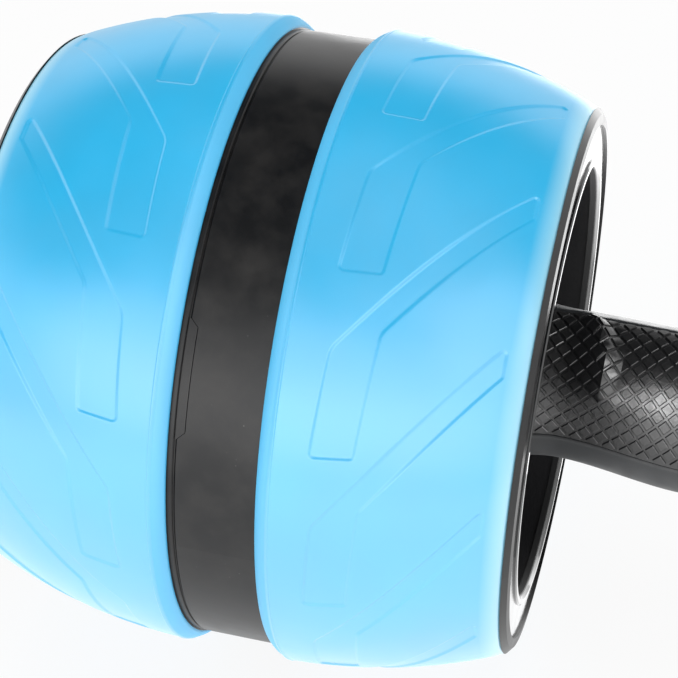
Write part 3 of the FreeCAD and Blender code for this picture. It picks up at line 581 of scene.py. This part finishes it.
def tread(side, sign, size):
    """One tread: the hooked cells of its crown, and the ring of its edges and seat."""
    crown = Crown(size)
    cell_turn = FULL_TURN / size.hooks
    columns = round(math.degrees(cell_turn) / CELL_STEP)
    flat, faces = hook_cell(crown, columns)
    name = side + "_hooked_tread"
    cell = drawn(name, [crown.wrapped(sign, *place) for place in flat], faces=faces)
    ring = tread_ring(name, sign, crown, columns)
    pick(cell)
    for number in range(1, size.hooks):
        copy = cell.copy()
        copy.data = cell.data.copy()
        copy.data.transform(Matrix.Rotation(number * cell_turn, 4, "Y"))
        bpy.context.scene.collection.objects.link(copy)
        copy.select_set(True)
    ring.select_set(True)
    bpy.ops.object.join()
    dressed(cell, "wheel", "tread_rubber", [side + "_tread"], crease=40.0)


# Handles


def spine_turn(height, spine):
    """The turn at which a smooth spine starts, for an oval of this half height."""
    return math.asin(1 - spine / height)


class Grip:
    """Shape of a handle's grip: its sections, and places on them."""

    def __init__(self, side, size):
        self.sign = SIDES[side]
        self.size = size
        self.root = size.end - size.span
        self.front = Vector((math.cos(size.pitch), 0.0, math.sin(size.pitch)))
        self.top = Vector((-math.sin(size.pitch), 0.0, math.cos(size.pitch)))
        self.section = functools.lru_cache(maxsize=None)(self.new_section)

    def new_section(self, out):
        """The grip's section at a distance out from its root."""
        section = SimpleNamespace(out=out)
        for column, way in enumerate(GRIP_WAYS, start=1):
            setattr(section, way, eased([(row[0] * MM, row[column] * MM) for row in GRIP_PLACES], out))
        return section

    def pitched(self, forward, along, up):
        """A place in the row frame from one in the handle's own frame."""
        return self.front * forward + self.top * up + Vector((0.0, self.sign * along, 0.0))

    def skin(self, section, turn, lift, scale=1.0):
        """A place on a section, lifted off its skin, at a turn from the front towards the top."""
        across, up = math.cos(turn), math.sin(turn)
        width = section.front if across > 0 else section.rear
        height = section.top if up > 0 else section.bottom
        normal = Vector((across / width, up / height)).normalized()
        lift = lift + self.stop_rise(section.out, turn)
        middle = (section.top - section.bottom) / 2
        forward = scale * (width * across + lift * normal.x)
        rise = middle + scale * (height * up + lift * normal.y - middle)
        return self.pitched(forward, self.root + section.out, rise)

    def stop_rise(self, out, turn):
        """Height of the thumb stop, which climbs slowly to its peak and falls steeply to the palm."""
        degrees = (math.degrees(turn) + 180.0) % 360.0 - 180.0
        height = self.size.stop * eased(STOP_SHARES, degrees)
        bend = (max(degrees, 0.0) / STOP_TOP) ** 2
        past = out - self.size.stop_peak + bend * self.size.stop_bend
        if past < 0.0:
            return height * max(1.0 + past / self.size.stop_climb, 0.0) ** STOP_HOLLOW
        return height * max(1.0 - past / self.size.stop_fall, 0.0)

    def pad_turn(self, section, face, way):
        """The turn at a share of the way from a pad's middle to its top edge, or bottom edge below zero."""
        height = section.top if way > 0 else section.bottom
        width = section.front if face == "front" else section.rear
        spine = self.size.top_spine if way > 0 else self.size.bottom_spine
        limit = spine_turn(height, spine + self.size.gap)
        run = [0.0]
        for step in range(PAD_STEPS):
            turn = limit * (step + 0.5) / PAD_STEPS
            run.append(run[-1] + math.hypot(width * math.sin(turn), height * math.cos(turn)))
        wanted = abs(way) * run[-1]
        turn = limit * follow([(run[step], step / PAD_STEPS) for step in range(PAD_STEPS + 1)], wanted)
        turn = math.copysign(turn, way)
        return turn if face == "front" else math.pi - turn


def core_ring(grip, section):
    """A handle core's section as (turn, lift) places: spines with eased edges, and the pads' seats."""
    size = grip.size
    seat = -(size.pad + size.gap)
    top = spine_turn(section.top, size.top_spine)
    bottom = spine_turn(section.bottom, size.bottom_spine)
    eased_by = SPINE_EASE[-1][0]
    ways = list(SPINE_EASE)
    ways += [(eased_by + (1 - 2 * eased_by) * step / SPINE_STEPS, 0.0) for step in range(1, SPINE_STEPS)]
    ways += [(1 - way, lift) for way, lift in reversed(SPINE_EASE)]
    ring = []
    for start, end in ((top, math.pi - top), (math.pi + bottom, FULL_TURN - bottom)):
        ring.append((start, seat))
        ring.extend((start + (end - start) * way, lift) for way, lift in ways)
        ring.append((end, seat))
        far = math.pi + bottom if start == top else FULL_TURN + top
        ring.extend((end + (far - end) * step / SEAT_ROWS, seat) for step in range(1, SEAT_ROWS))
    ring.append((ring[0][0] + FULL_TURN, ring[0][1]))
    return ring


def core_columns(grip):
    """A handle core's columns from the bottom of its bore, along its collar and grip, to its outer end."""
    size = grip.size
    face = CORE_BOX[0].y
    floor = face + size.bore_depth
    circles = [(floor, 0.0), (floor, size.bore), (face, size.bore)]
    circles += [(face + along * MM, size.collar - inset * MM) for along, inset in COLLAR_FACE]
    circles += [(grip.root + along * MM, size.collar - inset * MM) for along, inset in COLLAR_ROOT]
    columns = [("circle", along, radius) for along, radius in circles]
    columns += [("oval", out * MM, lift * MM) for out, lift in ROOT_EASE]
    start = ROOT_EASE[-1][0] * MM
    for step in range(1, CORE_STEPS + 1):
        columns.append(("oval", start + (size.span - start) * step / CORE_STEPS, 0.0))
    columns += [("oval", size.span, -END_INSET), ("end", size.span, 0.0)]
    return columns


def handle_core(side, size):
    """Rigid handle: collar over the axle, smooth spines and the seats of its pads."""
    grip = Grip(side, size)
    columns = core_columns(grip)
    rows = len(core_ring(grip, grip.section(0.0)))

    def place(column, row):
        kind, first, second = columns[column]
        section = grip.section(first if kind != "circle" else 0.0)
        turn, lift = core_ring(grip, section)[row]
        if kind == "circle":
            return grip.pitched(second * math.cos(turn), first, second * math.sin(turn))
        if kind == "end":
            return grip.skin(section, turn, 0.0, 0.0)
        return grip.skin(section, turn, lift + second)

    core = wrapped_grid(side + "_handle", len(columns), rows, place)
    dressed(core, "handle_bar", "handle_plastic", [side + "_handle_core"], crease=CORE_CREASE)
    button_hole(core, grip)


def button_hole(core, grip):
    """Cuts the hole in a handle's collar that its lock button stands in."""
    low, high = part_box("right_lock_button")
    along = (low.y + high.y) / 2
    radius = (high.y - low.y) / 2 + grip.size.hole_gap
    deselect()
    bpy.ops.mesh.primitive_cylinder_add(vertices=HOLE_SIDES, radius=radius, depth=HOLE_REACH)
    cutter = bpy.context.object
    turn = Vector((0, 0, 1)).rotation_difference(-grip.top).to_matrix().to_4x4()
    cutter.data.transform(Matrix.Translation(grip.pitched(0.0, along, -grip.size.collar)) @ turn)
    pick(core)
    cut = core.modifiers.new("button_hole", "BOOLEAN")
    cut.object = cutter
    cut.operation = "DIFFERENCE"
    cut.solver = "EXACT"
    bpy.ops.object.modifier_apply(modifier=cut.name)
    bpy.data.objects.remove(cutter)
    bpy.ops.object.shade_smooth_by_angle(angle=math.radians(CORE_CREASE))


def end_cap(side, size):
    """Rounded cap on a handle's outer end, set off from the grip by a fine groove."""
    grip = Grip(side, size)
    columns = [(size.span + out * MM, scale) for out, scale in CAP_RIM]
    rim = CAP_RIM[-1][0] * MM
    for step in range(1, CAP_STEPS + 1):
        swing = math.pi / 2 * step / CAP_STEPS
        out = size.span + rim + (size.cap - rim) * math.sin(swing)
        columns.append((out, math.cos(swing) ** CAP_FULLNESS))
    last = grip.section(size.span)

    def place(column, row):
        out, scale = columns[column]
        section = SimpleNamespace(**vars(last))
        section.out = out
        return grip.skin(section, FULL_TURN * row / (CAP_ROWS - 1), 0.0, scale)

    cap = wrapped_grid(side + "_cap", len(columns), CAP_ROWS, place)
    dressed(cap, "handle_bar", "handle_plastic", [side + "_end_cap"], crease=40.0)


def button_spring(side, size):
    """A lock button's coil spring, copied from its CAD node."""
    grip = Grip(side, size)
    node = side + "_button_spring"
    solid = frame["nodes"][node].data
    points = [vertex.co.copy() for vertex in solid.vertices]
    spring = drawn(side + "_coil", points, faces=[tuple(face.vertices) for face in solid.polygons])
    dressed(spring, "handle_bar", "spring_steel", [node], crease=50.0)
    heights = [grip.top.dot(point) for point in points]
    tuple(grip.top)
    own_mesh(spring)


def knurled_sheet(name, size):
    """A flat pad with rows of square studs turned by an eighth of a turn, from x = 0 to the grip's length."""
    reach = (size.span + 2 * size.pad_down) / math.sqrt(2)
    cells = 2 * math.ceil(reach / size.knurl / 2 + 1)
    centre = (size.span / 2, 0.0, -size.pad)
    deselect()
    bpy.ops.mesh.primitive_grid_add(x_subdivisions=cells, y_subdivisions=cells, size=cells * size.knurl,
                                    location=centre)
    sheet = bpy.context.object
    sheet.name = name
    bpy.ops.object.transform_apply(location=True)
    edit(sheet)
    bpy.ops.transform.rotate(value=FULL_TURN / 8, orient_axis="Z", center_override=centre)
    edges = (
        ((size.gap, 0.0, 0.0), (-1.0, 0.0, 0.0)),
        ((size.span - size.gap, 0.0, 0.0), (1.0, 0.0, 0.0)),
        ((0.0, size.pad_up, 0.0), (0.0, 1.0, 0.0)),
        ((0.0, -size.pad_down, 0.0), (0.0, -1.0, 0.0)),
    )
    for place, way in edges:
        bpy.ops.mesh.select_all(action="SELECT")
        bpy.ops.mesh.bisect(plane_co=place, plane_no=way, clear_outer=True)
    bpy.ops.mesh.select_all(action="SELECT")
    bpy.ops.mesh.remove_doubles(threshold=CUT_MERGE)
    bpy.ops.mesh.select_all(action="SELECT")
    rise = size.pad - size.stud * STUD_SUNK
    bpy.ops.mesh.extrude_region_move(TRANSFORM_OT_translate={"value": (0.0, 0.0, rise)})
    raise_studs(sheet, size)
    bpy.ops.object.mode_set(mode="OBJECT")
    return sheet


def raise_studs(sheet, size):
    """Raises a stud on each of a flat pad's squares, leaving slivers along the edges low."""
    bpy.ops.mesh.select_mode(type="FACE")
    mesh = bmesh.from_edit_mesh(sheet.data)
    mesh.normal_update()
    top = max(vertex.co.z for vertex in mesh.verts) - LEVEL_SLACK
    for face in mesh.faces:
        level = all(vertex.co.z > top for vertex in face.verts)
        round_way = sum(edge.calc_length() for edge in face.edges)
        face.select_set(level and 2 * face.calc_area() / round_way > SLIVER)
    bmesh.update_edit_mesh(sheet.data)
    bpy.ops.mesh.inset(use_individual=True, thickness=size.groove / 2)
    for inset, climb in STUD_STEPS:
        bpy.ops.mesh.inset(use_individual=True, thickness=inset * MM, depth=size.stud * climb)
    bpy.ops.mesh.poke()


def grip_pads(side, size):
    """The knurled pads on a handle's front and rear faces."""
    grip = Grip(side, size)
    for face in ("front", "rear"):
        pad = knurled_sheet(f"{side}_{face}_knurl", size)
        for vertex in pad.data.vertices:
            section = grip.section(round(vertex.co.x, SECTION_PLACES))
            across = vertex.co.y
            turn = grip.pad_turn(section, face, across / (size.pad_up if across > 0 else size.pad_down))
            vertex.co = grip.skin(section, turn, vertex.co.z)
        dressed(pad, "handle_bar", "grip_rubber", [f"{side}_{face}_pad"], crease=30.0)


# Finishes


def add(tree, kind, sockets=None, **settings):
    """A new shader node with its settings, and its sockets set to values or joined to other sockets."""
    made = tree.nodes.new("ShaderNode" + kind)
    for name, value in settings.items():
        setattr(made, name, value)
    for name, value in (sockets or {}).items():
        if isinstance(value, bpy.types.NodeSocket):
            tree.links.new(value, made.inputs[name])
        else:
            made.inputs[name].default_value = value
    return made


class Finish:
    """A material under construction: its node tree, its surface shader and its object coordinates."""

    def __init__(self, name, **sockets):
        self.material = bpy.data.materials.new(name)
        self.material.use_nodes = True
        self.tree = self.material.node_tree
        self.surface = next(n for n in self.tree.nodes if n.type == "BSDF_PRINCIPLED")
        self.place = add(self.tree, "TexCoord").outputs["Object"]
        for key, value in sockets.items():
            self.surface.inputs[key.replace("_", " ")].default_value = value

    def noise(self, scale, detail=2.0, roughness=0.5, stretch=None):
        """Noise over the piece, at so many features a metre, stretched along an axis where asked."""
        place = self.place
        if stretch:
            place = add(self.tree, "Mapping", {"Vector": place, "Scale": stretch}).outputs["Vector"]
        sockets = {"Vector": place, "Scale": scale, "Detail": detail, "Roughness": roughness}
        return add(self.tree, "TexNoise", sockets).outputs["Fac"]

    def cells(self, scale):
        """Distance from the nearest of scattered points, at so many a metre."""
        return add(self.tree, "TexVoronoi", {"Vector": self.place, "Scale": scale}).outputs["Distance"]

    def across(self):
        """Distance from the centre plane."""
        along = add(self.tree, "SeparateXYZ", {"Vector": self.place}).outputs["Y"]
        return add(self.tree, "Math", {0: along}, operation="ABSOLUTE").outputs[0]

    def radius(self):
        """Distance from the axle's axis."""
        sockets = {0: self.place, 1: (1.0, 0.0, 1.0)}
        flat = add(self.tree, "VectorMath", sockets, operation="MULTIPLY").outputs["Vector"]
        return add(self.tree, "VectorMath", {0: flat}, operation="LENGTH").outputs["Value"]

    def spread(self, value, low, high, start=0.3, end=0.7):
        """A value taken from one range to another."""
        sockets = {"Value": value, "From Min": start, "From Max": end, "To Min": low, "To Max": high}
        return add(self.tree, "MapRange", sockets).outputs["Result"]

    def mixed(self, factor, first, second):
        """A colour taken towards a plain one."""
        mix = add(self.tree, "Mix", {0: factor, 6: first, 7: (*second, 1.0)}, data_type="RGBA")
        return mix.outputs[2]

    def larger(self, first, second):
        """The larger of two values."""
        return add(self.tree, "Math", {0: first, 1: second}, operation="MAXIMUM").outputs[0]

    def shaded(self, colour, low, high, value):
        """A colour made darker and lighter by a value."""
        sockets = {"Color": (*colour, 1.0), "Value": self.spread(value, low, high)}
        return add(self.tree, "HueSaturation", sockets).outputs["Color"]

    def bumps(self, *layers):
        """Relief from (height, strength, distance) layers, one over the other."""
        normal = None
        for height, strength, distance in layers:
            sockets = {"Height": height, "Strength": strength, "Distance": distance}
            if normal:
                sockets["Normal"] = normal
            normal = add(self.tree, "Bump", sockets).outputs["Normal"]
        self.tree.links.new(normal, self.surface.inputs["Normal"])

    def feed(self, socket, value):
        """Joins a value to one of the surface shader's sockets."""
        self.tree.links.new(value, self.surface.inputs[socket])


def tread_rubber(colours):
    """Blue rubber with a soft sheen, faint mottling, a fine moulded grain, edges paled by painted sheen, dull
    shoulders.
    """
    made = Finish("tread_rubber", IOR=1.8, Specular_IOR_Level=1.0)
    plain = made.shaded(colours.tread, 0.95, 1.05, made.noise(26.0, detail=3.0))
    # Painted sheen: the tread is painted paler towards its outer edge, where light catches it
    edge = made.spread(made.across(), 0.0, 0.8, *EDGE_SHEEN_SPAN)
    made.feed("Base Color", made.mixed(edge, plain, colours.pale))
    sheen = made.spread(made.noise(70.0, detail=4.0), 0.285, 0.33)
    made.feed("Roughness", made.larger(sheen, made.spread(made.across(), 0.6, 0.0, *SHOULDER_END)))
    made.bumps((made.noise(2400.0), 0.12, 0.05 * MM), (made.noise(160.0), 0.05, 0.2 * MM))
    return made.material


def shell_plastic(colours):
    """Black satin plastic with faint smudges, hairlines round the rim, a few specks of dust and painted fill
    light within the recess.
    """
    made = Finish("shell_plastic", Specular_IOR_Level=0.55)
    specks = made.spread(made.cells(420.0), 1.0, 0.0, 0.03, 0.12)
    patches = made.spread(made.noise(55.0, detail=3.0), 0.0, 1.0, 0.58, 0.72)
    dust = add(made.tree, "Math", {0: specks, 1: patches}, operation="MULTIPLY").outputs[0]
    hairs = made.noise(60.0, detail=3.0, roughness=0.6, stretch=(1.0, 26.0, 1.0))
    smudges = made.noise(75.0, detail=5.0, roughness=0.6)
    plain = made.mixed(made.spread(smudges, 0.0, 1.0, 0.4, 0.7), (*colours.shell, 1.0), colours.smudge)
    # Painted fill light: lighter within the recess, where the shell lies in shade
    inside = made.spread(made.radius(), 1.0, 0.0, *RECESS_FILL_LIGHT_SPAN)
    moulded = made.mixed(inside, plain, colours.recess)
    made.feed("Base Color", made.mixed(dust, moulded, colours.dust))
    made.feed("Roughness", made.spread(smudges, 0.3, 0.38))
    made.bumps((made.noise(1500.0, detail=3.0), 0.1, 0.03 * MM), (hairs, 0.02, 0.05 * MM))
    return made.material


def trim_plastic(colours):
    """Black gloss plastic with fine handling marks and a satin bore."""
    made = Finish("trim_plastic", IOR=1.6, Specular_IOR_Level=0.9)
    made.feed("Base Color", made.shaded(colours.trim, 0.9, 1.2, made.noise(60.0)))
    marks = made.noise(90.0, detail=4.0, roughness=0.6, stretch=(1.0, 9.0, 1.0))
    bore = made.spread(made.radius(), 0.7, 0.0, *BORE_EDGE)
    made.feed("Roughness", made.larger(made.spread(marks, 0.06, 0.14), bore))
    made.bumps((made.noise(35.0), 0.02, 0.2 * MM))
    return made.material


def handle_plastic(colours):
    """Dark grey satin plastic with a fine spark-eroded grain."""
    made = Finish("handle_plastic", IOR=1.6, Specular_IOR_Level=0.8)
    made.feed("Base Color", made.shaded(colours.handle, 0.9, 1.12, made.noise(80.0, detail=3.0)))
    made.feed("Roughness", made.spread(made.noise(220.0, detail=3.0), 0.4, 0.5))
    made.bumps((made.noise(2600.0), 0.2, 0.04 * MM), (made.noise(300.0), 0.05, 0.1 * MM))
    return made.material


def grip_rubber(colours):
    """Black rubber with a leathery grain, a little paler where it is rubbed."""
    made = Finish("grip_rubber", IOR=1.6, Specular_IOR_Level=1.0)
    rubbed = made.spread(made.noise(140.0, detail=4.0), 0.0, 0.5, 0.45, 0.7)
    plain = made.shaded(colours.grip, 0.8, 1.25, made.noise(900.0))
    made.feed("Base Color", made.mixed(rubbed, plain, colours.rubbed))
    made.feed("Roughness", made.spread(made.noise(500.0, detail=3.0), 0.3, 0.4))
    made.bumps((made.cells(1500.0), 0.35, 0.08 * MM), (made.noise(420.0, detail=3.0), 0.25, 0.15 * MM))
    return made.material


def bright_steel(name, colours, roughness, stretch):
    """Turned or rolled bright steel with fine lines."""
    made = Finish(name, Metallic=1.0)
    lines = made.noise(40.0, detail=4.0, roughness=0.6, stretch=stretch)
    made.feed("Base Color", made.shaded(colours.steel, 0.9, 1.06, lines))
    made.feed("Roughness", made.spread(lines, roughness - 0.06, roughness + 0.08))
    made.bumps((lines, 0.08, 0.03 * MM))
    return made.material


def axle_steel(colours):
    """Drawn steel with lines along the axle."""
    return bright_steel("axle_steel", colours, roughness=0.24, stretch=(24.0, 1.0, 24.0))


def case_steel(colours):
    """Pressed sheet steel."""
    return bright_steel("case_steel", colours, roughness=0.34, stretch=(1.0, 18.0, 1.0))


def screw_steel(colours):
    """Zinc plated steel."""
    return bright_steel("screw_steel", colours, roughness=0.28, stretch=(6.0, 30.0, 6.0))


def spring_steel(colours):
    """Blued spring steel with straw coloured patches."""
    made = Finish("spring_steel", Metallic=1.0)
    plain = made.shaded(colours.spring, 0.85, 1.15, made.noise(60.0, detail=3.0))
    straw = made.spread(made.noise(25.0), 0.0, 0.35, 0.5, 0.75)
    made.feed("Base Color", made.mixed(straw, plain, colours.straw))
    made.feed("Roughness", made.spread(made.noise(120.0, detail=3.0), 0.26, 0.36))
    made.bumps((made.noise(600.0), 0.06, 0.03 * MM))
    return made.material


def bush_nylon(colours):
    """Natural nylon with a waxy turned surface."""
    made = Finish("bush_nylon", Specular_IOR_Level=0.45, Subsurface_Weight=0.15, Subsurface_Scale=1.5 * MM)
    made.feed("Base Color", made.shaded(colours.nylon, 0.94, 1.04, made.noise(90.0, detail=3.0)))
    made.feed("Roughness", made.spread(made.noise(200.0), 0.36, 0.46))
    made.bumps((made.noise(60.0, stretch=(1.0, 20.0, 1.0)), 0.06, 0.05 * MM))
    return made.material


FINISHES = (tread_rubber, shell_plastic, trim_plastic, handle_plastic, grip_rubber, axle_steel, spring_steel,
            case_steel, bush_nylon, screw_steel)


def finish_for(slot):
    """The material of a slot, made the first time it is asked for."""
    found = bpy.data.materials.get("finish_" + slot)
    if found:
        return found
    maker = next(maker for maker in FINISHES if maker.__name__ == slot)
    made = maker(bpy.context.scene.roller_colours)
    made.name = "finish_" + slot
    return made


# Stage


def seen_ray(tree):
    """One where a ray comes from the camera, a reflection or a clear piece, and otherwise nothing."""
    path = add(tree, "LightPath")
    rays = [path.outputs[f"Is {kind} Ray"] for kind in ("Camera", "Glossy", "Transmission")]
    both = add(tree, "Math", {0: rays[0], 1: rays[1]}, operation="MAXIMUM").outputs[0]
    return add(tree, "Math", {0: both, 1: rays[2]}, operation="MAXIMUM").outputs[0]


def stage_floor(stage):
    """White floor that keeps a little of the roller's shadow."""
    deselect()
    bpy.ops.mesh.primitive_plane_add(size=FLOOR_SIDE, location=(0.0, 0.0, CAD_BOX[0][2]))
    floor = bpy.context.object
    floor.name = "floor"
    paper = bpy.data.materials.new("floor_paper")
    paper.use_nodes = True
    tree = paper.node_tree
    tree.nodes.remove(next(n for n in tree.nodes if n.type == "BSDF_PRINCIPLED"))
    lit = add(tree, "BsdfDiffuse", {"Color": PAPER}).outputs[0]
    white = add(tree, "Emission", {"Color": WHITE, "Strength": 1.0}).outputs[0]
    factor = add(tree, "Math", {0: seen_ray(tree), 1: stage.floor_white}, operation="MULTIPLY").outputs[0]
    mixed = add(tree, "MixShader", {0: factor, 1: lit, 2: white}).outputs[0]
    output = next(n for n in tree.nodes if n.type == "OUTPUT_MATERIAL")
    tree.links.new(mixed, output.inputs["Surface"])
    floor.data.materials.append(paper)


def stage_world(stage):
    """White surroundings, dimmer overhead in reflections, with even light from all round."""
    world = bpy.data.worlds.new("studio")
    bpy.context.scene.world = world
    world.use_nodes = True
    tree = world.node_tree
    background = next(n for n in tree.nodes if n.type == "BACKGROUND")
    up = add(tree, "SeparateXYZ", {"Vector": add(tree, "TexCoord").outputs["Generated"]}).outputs["Z"]
    sockets = {"Value": up, "From Min": DIM_START[0], "From Max": DIM_END[0]}
    dim = add(tree, "MapRange", sockets | {"To Min": DIM_START[1], "To Max": DIM_END[1]})
    camera = add(tree, "LightPath").outputs["Is Camera Ray"]
    shown = add(tree, "Math", {0: camera, 1: dim.outputs["Result"]}, operation="MAXIMUM").outputs[0]
    level = add(tree, "Mix", {0: seen_ray(tree), 2: stage.ambient, 3: shown}, data_type="FLOAT").outputs[0]
    tree.links.new(level, background.inputs["Strength"])
    background.inputs["Color"].default_value = WHITE


def lamp(name, place, target, size, brightness):
    """A soft box at a place, turned to a target, so many times as bright as white paper in full light."""
    data = bpy.data.lights.new(name, "AREA")
    data.shape = "RECTANGLE"
    data.size = size[0]
    data.size_y = size[1]
    data.energy = brightness * math.pi * size[0] * size[1]
    made = bpy.data.objects.new(name, data)
    bpy.context.scene.collection.objects.link(made)
    made.location = place
    made.rotation_euler = (Vector(target) - Vector(place)).to_track_quat("-Z", "Y").to_euler()
    made.visible_camera = False
    return made


def sheen(name, pieces, place, target, size, brightness):
    """A soft box that shows only in the reflections of some pieces."""
    made = lamp(name, place, target, size, brightness)
    made.visible_diffuse = False
    lit = bpy.data.collections.new(name + "_pieces")
    for piece in pieces:
        lit.objects.link(piece)
    made.light_linking.receiver_collection = lit


def upwards(place):
    """A target straight over a place, level with the top of the stage."""
    return (place[0], place[1], STAGE_TOP)


def stage_lights():
    """Soft boxes all round, and sheens that only show in the reflections of some pieces."""
    treads = [bpy.data.objects[side + "_hooked_tread"] for side in SIDES]
    shells = [frame["nodes"][side + "_shell"] for side in SIDES]
    rings = [frame["nodes"][side + "_trim_ring"] for side in SIDES]
    cores = [bpy.data.objects[side + "_handle"] for side in SIDES]
    pads = [bpy.data.objects[side + "_front_knurl"] for side in SIDES]
    front = {"place": (0.9, 0.0, 0.4), "target": MIDDLE, "size": (1.8, 0.85)}
    lamp("front_box", **front, brightness=0.95)
    top = lamp("top_box", place=(0.0, 0.1, 1.0), target=MIDDLE, size=(0.8, 0.8), brightness=2.0)
    top.visible_glossy = False
    low = (-0.4, 0.08, -0.09)
    back = lamp("back_box", place=low, target=upwards(low), size=(0.7, 0.45), brightness=2.0)
    back.visible_diffuse = False
    sheen("front_sheen", treads + shells, **front, brightness=2.9)
    sheen("key_sheen", treads, place=(0.42, 0.57, 0.7), target=MIDDLE, size=(0.55, 0.5), brightness=1.4)
    low = (0.5, 0.1, -0.09)
    sheen("floor_sheen", treads, place=low, target=upwards(low), size=(1.0, 1.4), brightness=0.8)
    low = (0.0, 0.19, -0.0945)
    sheen("ring_sheen", rings, place=low, target=upwards(low), size=(0.24, 0.24), brightness=0.6)
    sheen("spine_sheen", cores, place=(-0.8, 0.1, 0.1), target=MIDDLE, size=(1.6, 0.5), brightness=5.0)
    sheen("side_sheen", pads, place=(0.28, 0.85, 0.5), target=MIDDLE, size=(0.6, 0.5), brightness=5.0)
    grip = (0.02, 0.11, 0.02)
    sheen("grip_sheen", pads, place=(0.68, -0.2, 0.68), target=grip, size=(0.35, 0.3), brightness=13.0)


def stage_camera(stage):
    """Camera at the photograph's place."""
    data = bpy.data.cameras.new("camera")
    data.lens = stage.lens
    data.sensor_width = SENSOR_WIDTH
    data.clip_start = NEAREST
    camera = bpy.data.objects.new("camera", data)
    bpy.context.scene.collection.objects.link(camera)
    camera.location = stage.eye
    camera.rotation_euler = Vector(stage.look).to_track_quat("-Z", "Y").to_euler()
    bpy.context.scene.camera = camera


# Operators


class ROLLER_OT_treads(bpy.types.Operator):
    """Models the two hooked rubber treads"""

    bl_idname = "roller.treads"
    bl_label = "Treads"

    def execute(self, context):
        for side, sign in SIDES.items():
            tread(side, sign, context.scene.roller_treads)
        return {"FINISHED"}


class ROLLER_OT_handles(bpy.types.Operator):
    """Models the two rigid handles"""

    bl_idname = "roller.handles"
    bl_label = "Handles"

    def execute(self, context):
        for side in SIDES:
            handle_core(side, context.scene.roller_grips)
        return {"FINISHED"}


class ROLLER_OT_springs(bpy.types.Operator):
    """Models the lock buttons' coil springs"""

    bl_idname = "roller.springs"
    bl_label = "Button springs"

    def execute(self, context):
        for side in SIDES:
            button_spring(side, context.scene.roller_grips)
        return {"FINISHED"}


class ROLLER_OT_pads(bpy.types.Operator):
    """Models the knurled rubber pads on the handles"""

    bl_idname = "roller.pads"
    bl_label = "Knurled pads"

    def execute(self, context):
        for side in SIDES:
            grip_pads(side, context.scene.roller_grips)
        return {"FINISHED"}


class ROLLER_OT_caps(bpy.types.Operator):
    """Models the caps on the handles' outer ends"""

    bl_idname = "roller.caps"
    bl_label = "End caps"

    def execute(self, context):
        for side in SIDES:
            end_cap(side, context.scene.roller_grips)
        return {"FINISHED"}


class ROLLER_OT_finishes(bpy.types.Operator):
    """Gives each CAD node that stays in view its finish"""

    bl_idname = "roller.finishes"
    bl_label = "Finishes"

    def execute(self, context):
        for name, node in frame["nodes"].items():
            if node.hide_render:
                continue
            slot = slot_of(name)
            for place in node.material_slots:
                place.material = finish_for(slot)
        return {"FINISHED"}


class ROLLER_OT_stage(bpy.types.Operator):
    """Sets the white floor, the light and the camera"""

    bl_idname = "roller.stage"
    bl_label = "Stage"

    def execute(self, context):
        stage = context.scene.roller_stage
        context.scene.view_settings.view_transform = "Standard"
        stage_floor(stage)
        stage_world(stage)
        stage_lights()
        stage_camera(stage)
        return {"FINISHED"}


def slot_of(name):
    """The record's material slot of a CAD node."""
    for part in frame["record"]["subparts"]:
        if part["node"] == name:
            return part["material_slot"]
    raise RuntimeError(f"the record has no node named {name}")


class ROLLER_PT_panel(bpy.types.Panel):
    """Lists the roller's pieces and sizes"""

    bl_idname = "ROLLER_PT_panel"
    bl_label = "Ab wheel roller"
    bl_space_type = "VIEW_3D"
    bl_region_type = "UI"
    bl_category = "Roller"

    def draw(self, context):
        for operator in OPERATORS:
            self.layout.operator(operator.bl_idname)
        for name, kind in GROUPS.items():
            box = self.layout.box()
            for key in kind.__annotations__:
                box.prop(getattr(context.scene, name), key)


OPERATORS = (
    ROLLER_OT_treads,
    ROLLER_OT_handles,
    ROLLER_OT_springs,
    ROLLER_OT_pads,
    ROLLER_OT_caps,
    ROLLER_OT_finishes,
    ROLLER_OT_stage,
)
GROUPS = {
    "roller_treads": TreadSizes,
    "roller_grips": GripSizes,
    "roller_colours": RollerColours,
    "roller_stage": StageSizes,
}
CLASSES = (*GROUPS.values(), *OPERATORS, ROLLER_PT_panel)


def register():
    """Registers the classes and hangs the groups of sizes on the scene."""
    for made in CLASSES:
        bpy.utils.register_class(made)
    for name, group in GROUPS.items():
        setattr(bpy.types.Scene, name, PointerProperty(type=group))


def unregister():
    """Takes the groups of sizes and the classes away again."""
    for name in GROUPS:
        delattr(bpy.types.Scene, name)
    for made in reversed(CLASSES):
        bpy.utils.unregister_class(made)


def main():
    """Registers the classes, then builds every piece, its finishes and the stage."""
    register()
    bpy.ops.roller.treads()
    bpy.ops.roller.handles()
    bpy.ops.roller.springs()
    bpy.ops.roller.pads()
    bpy.ops.roller.caps()
    bpy.ops.roller.finishes()
    bpy.ops.roller.stage()


if __name__ == "__main__":
    main()
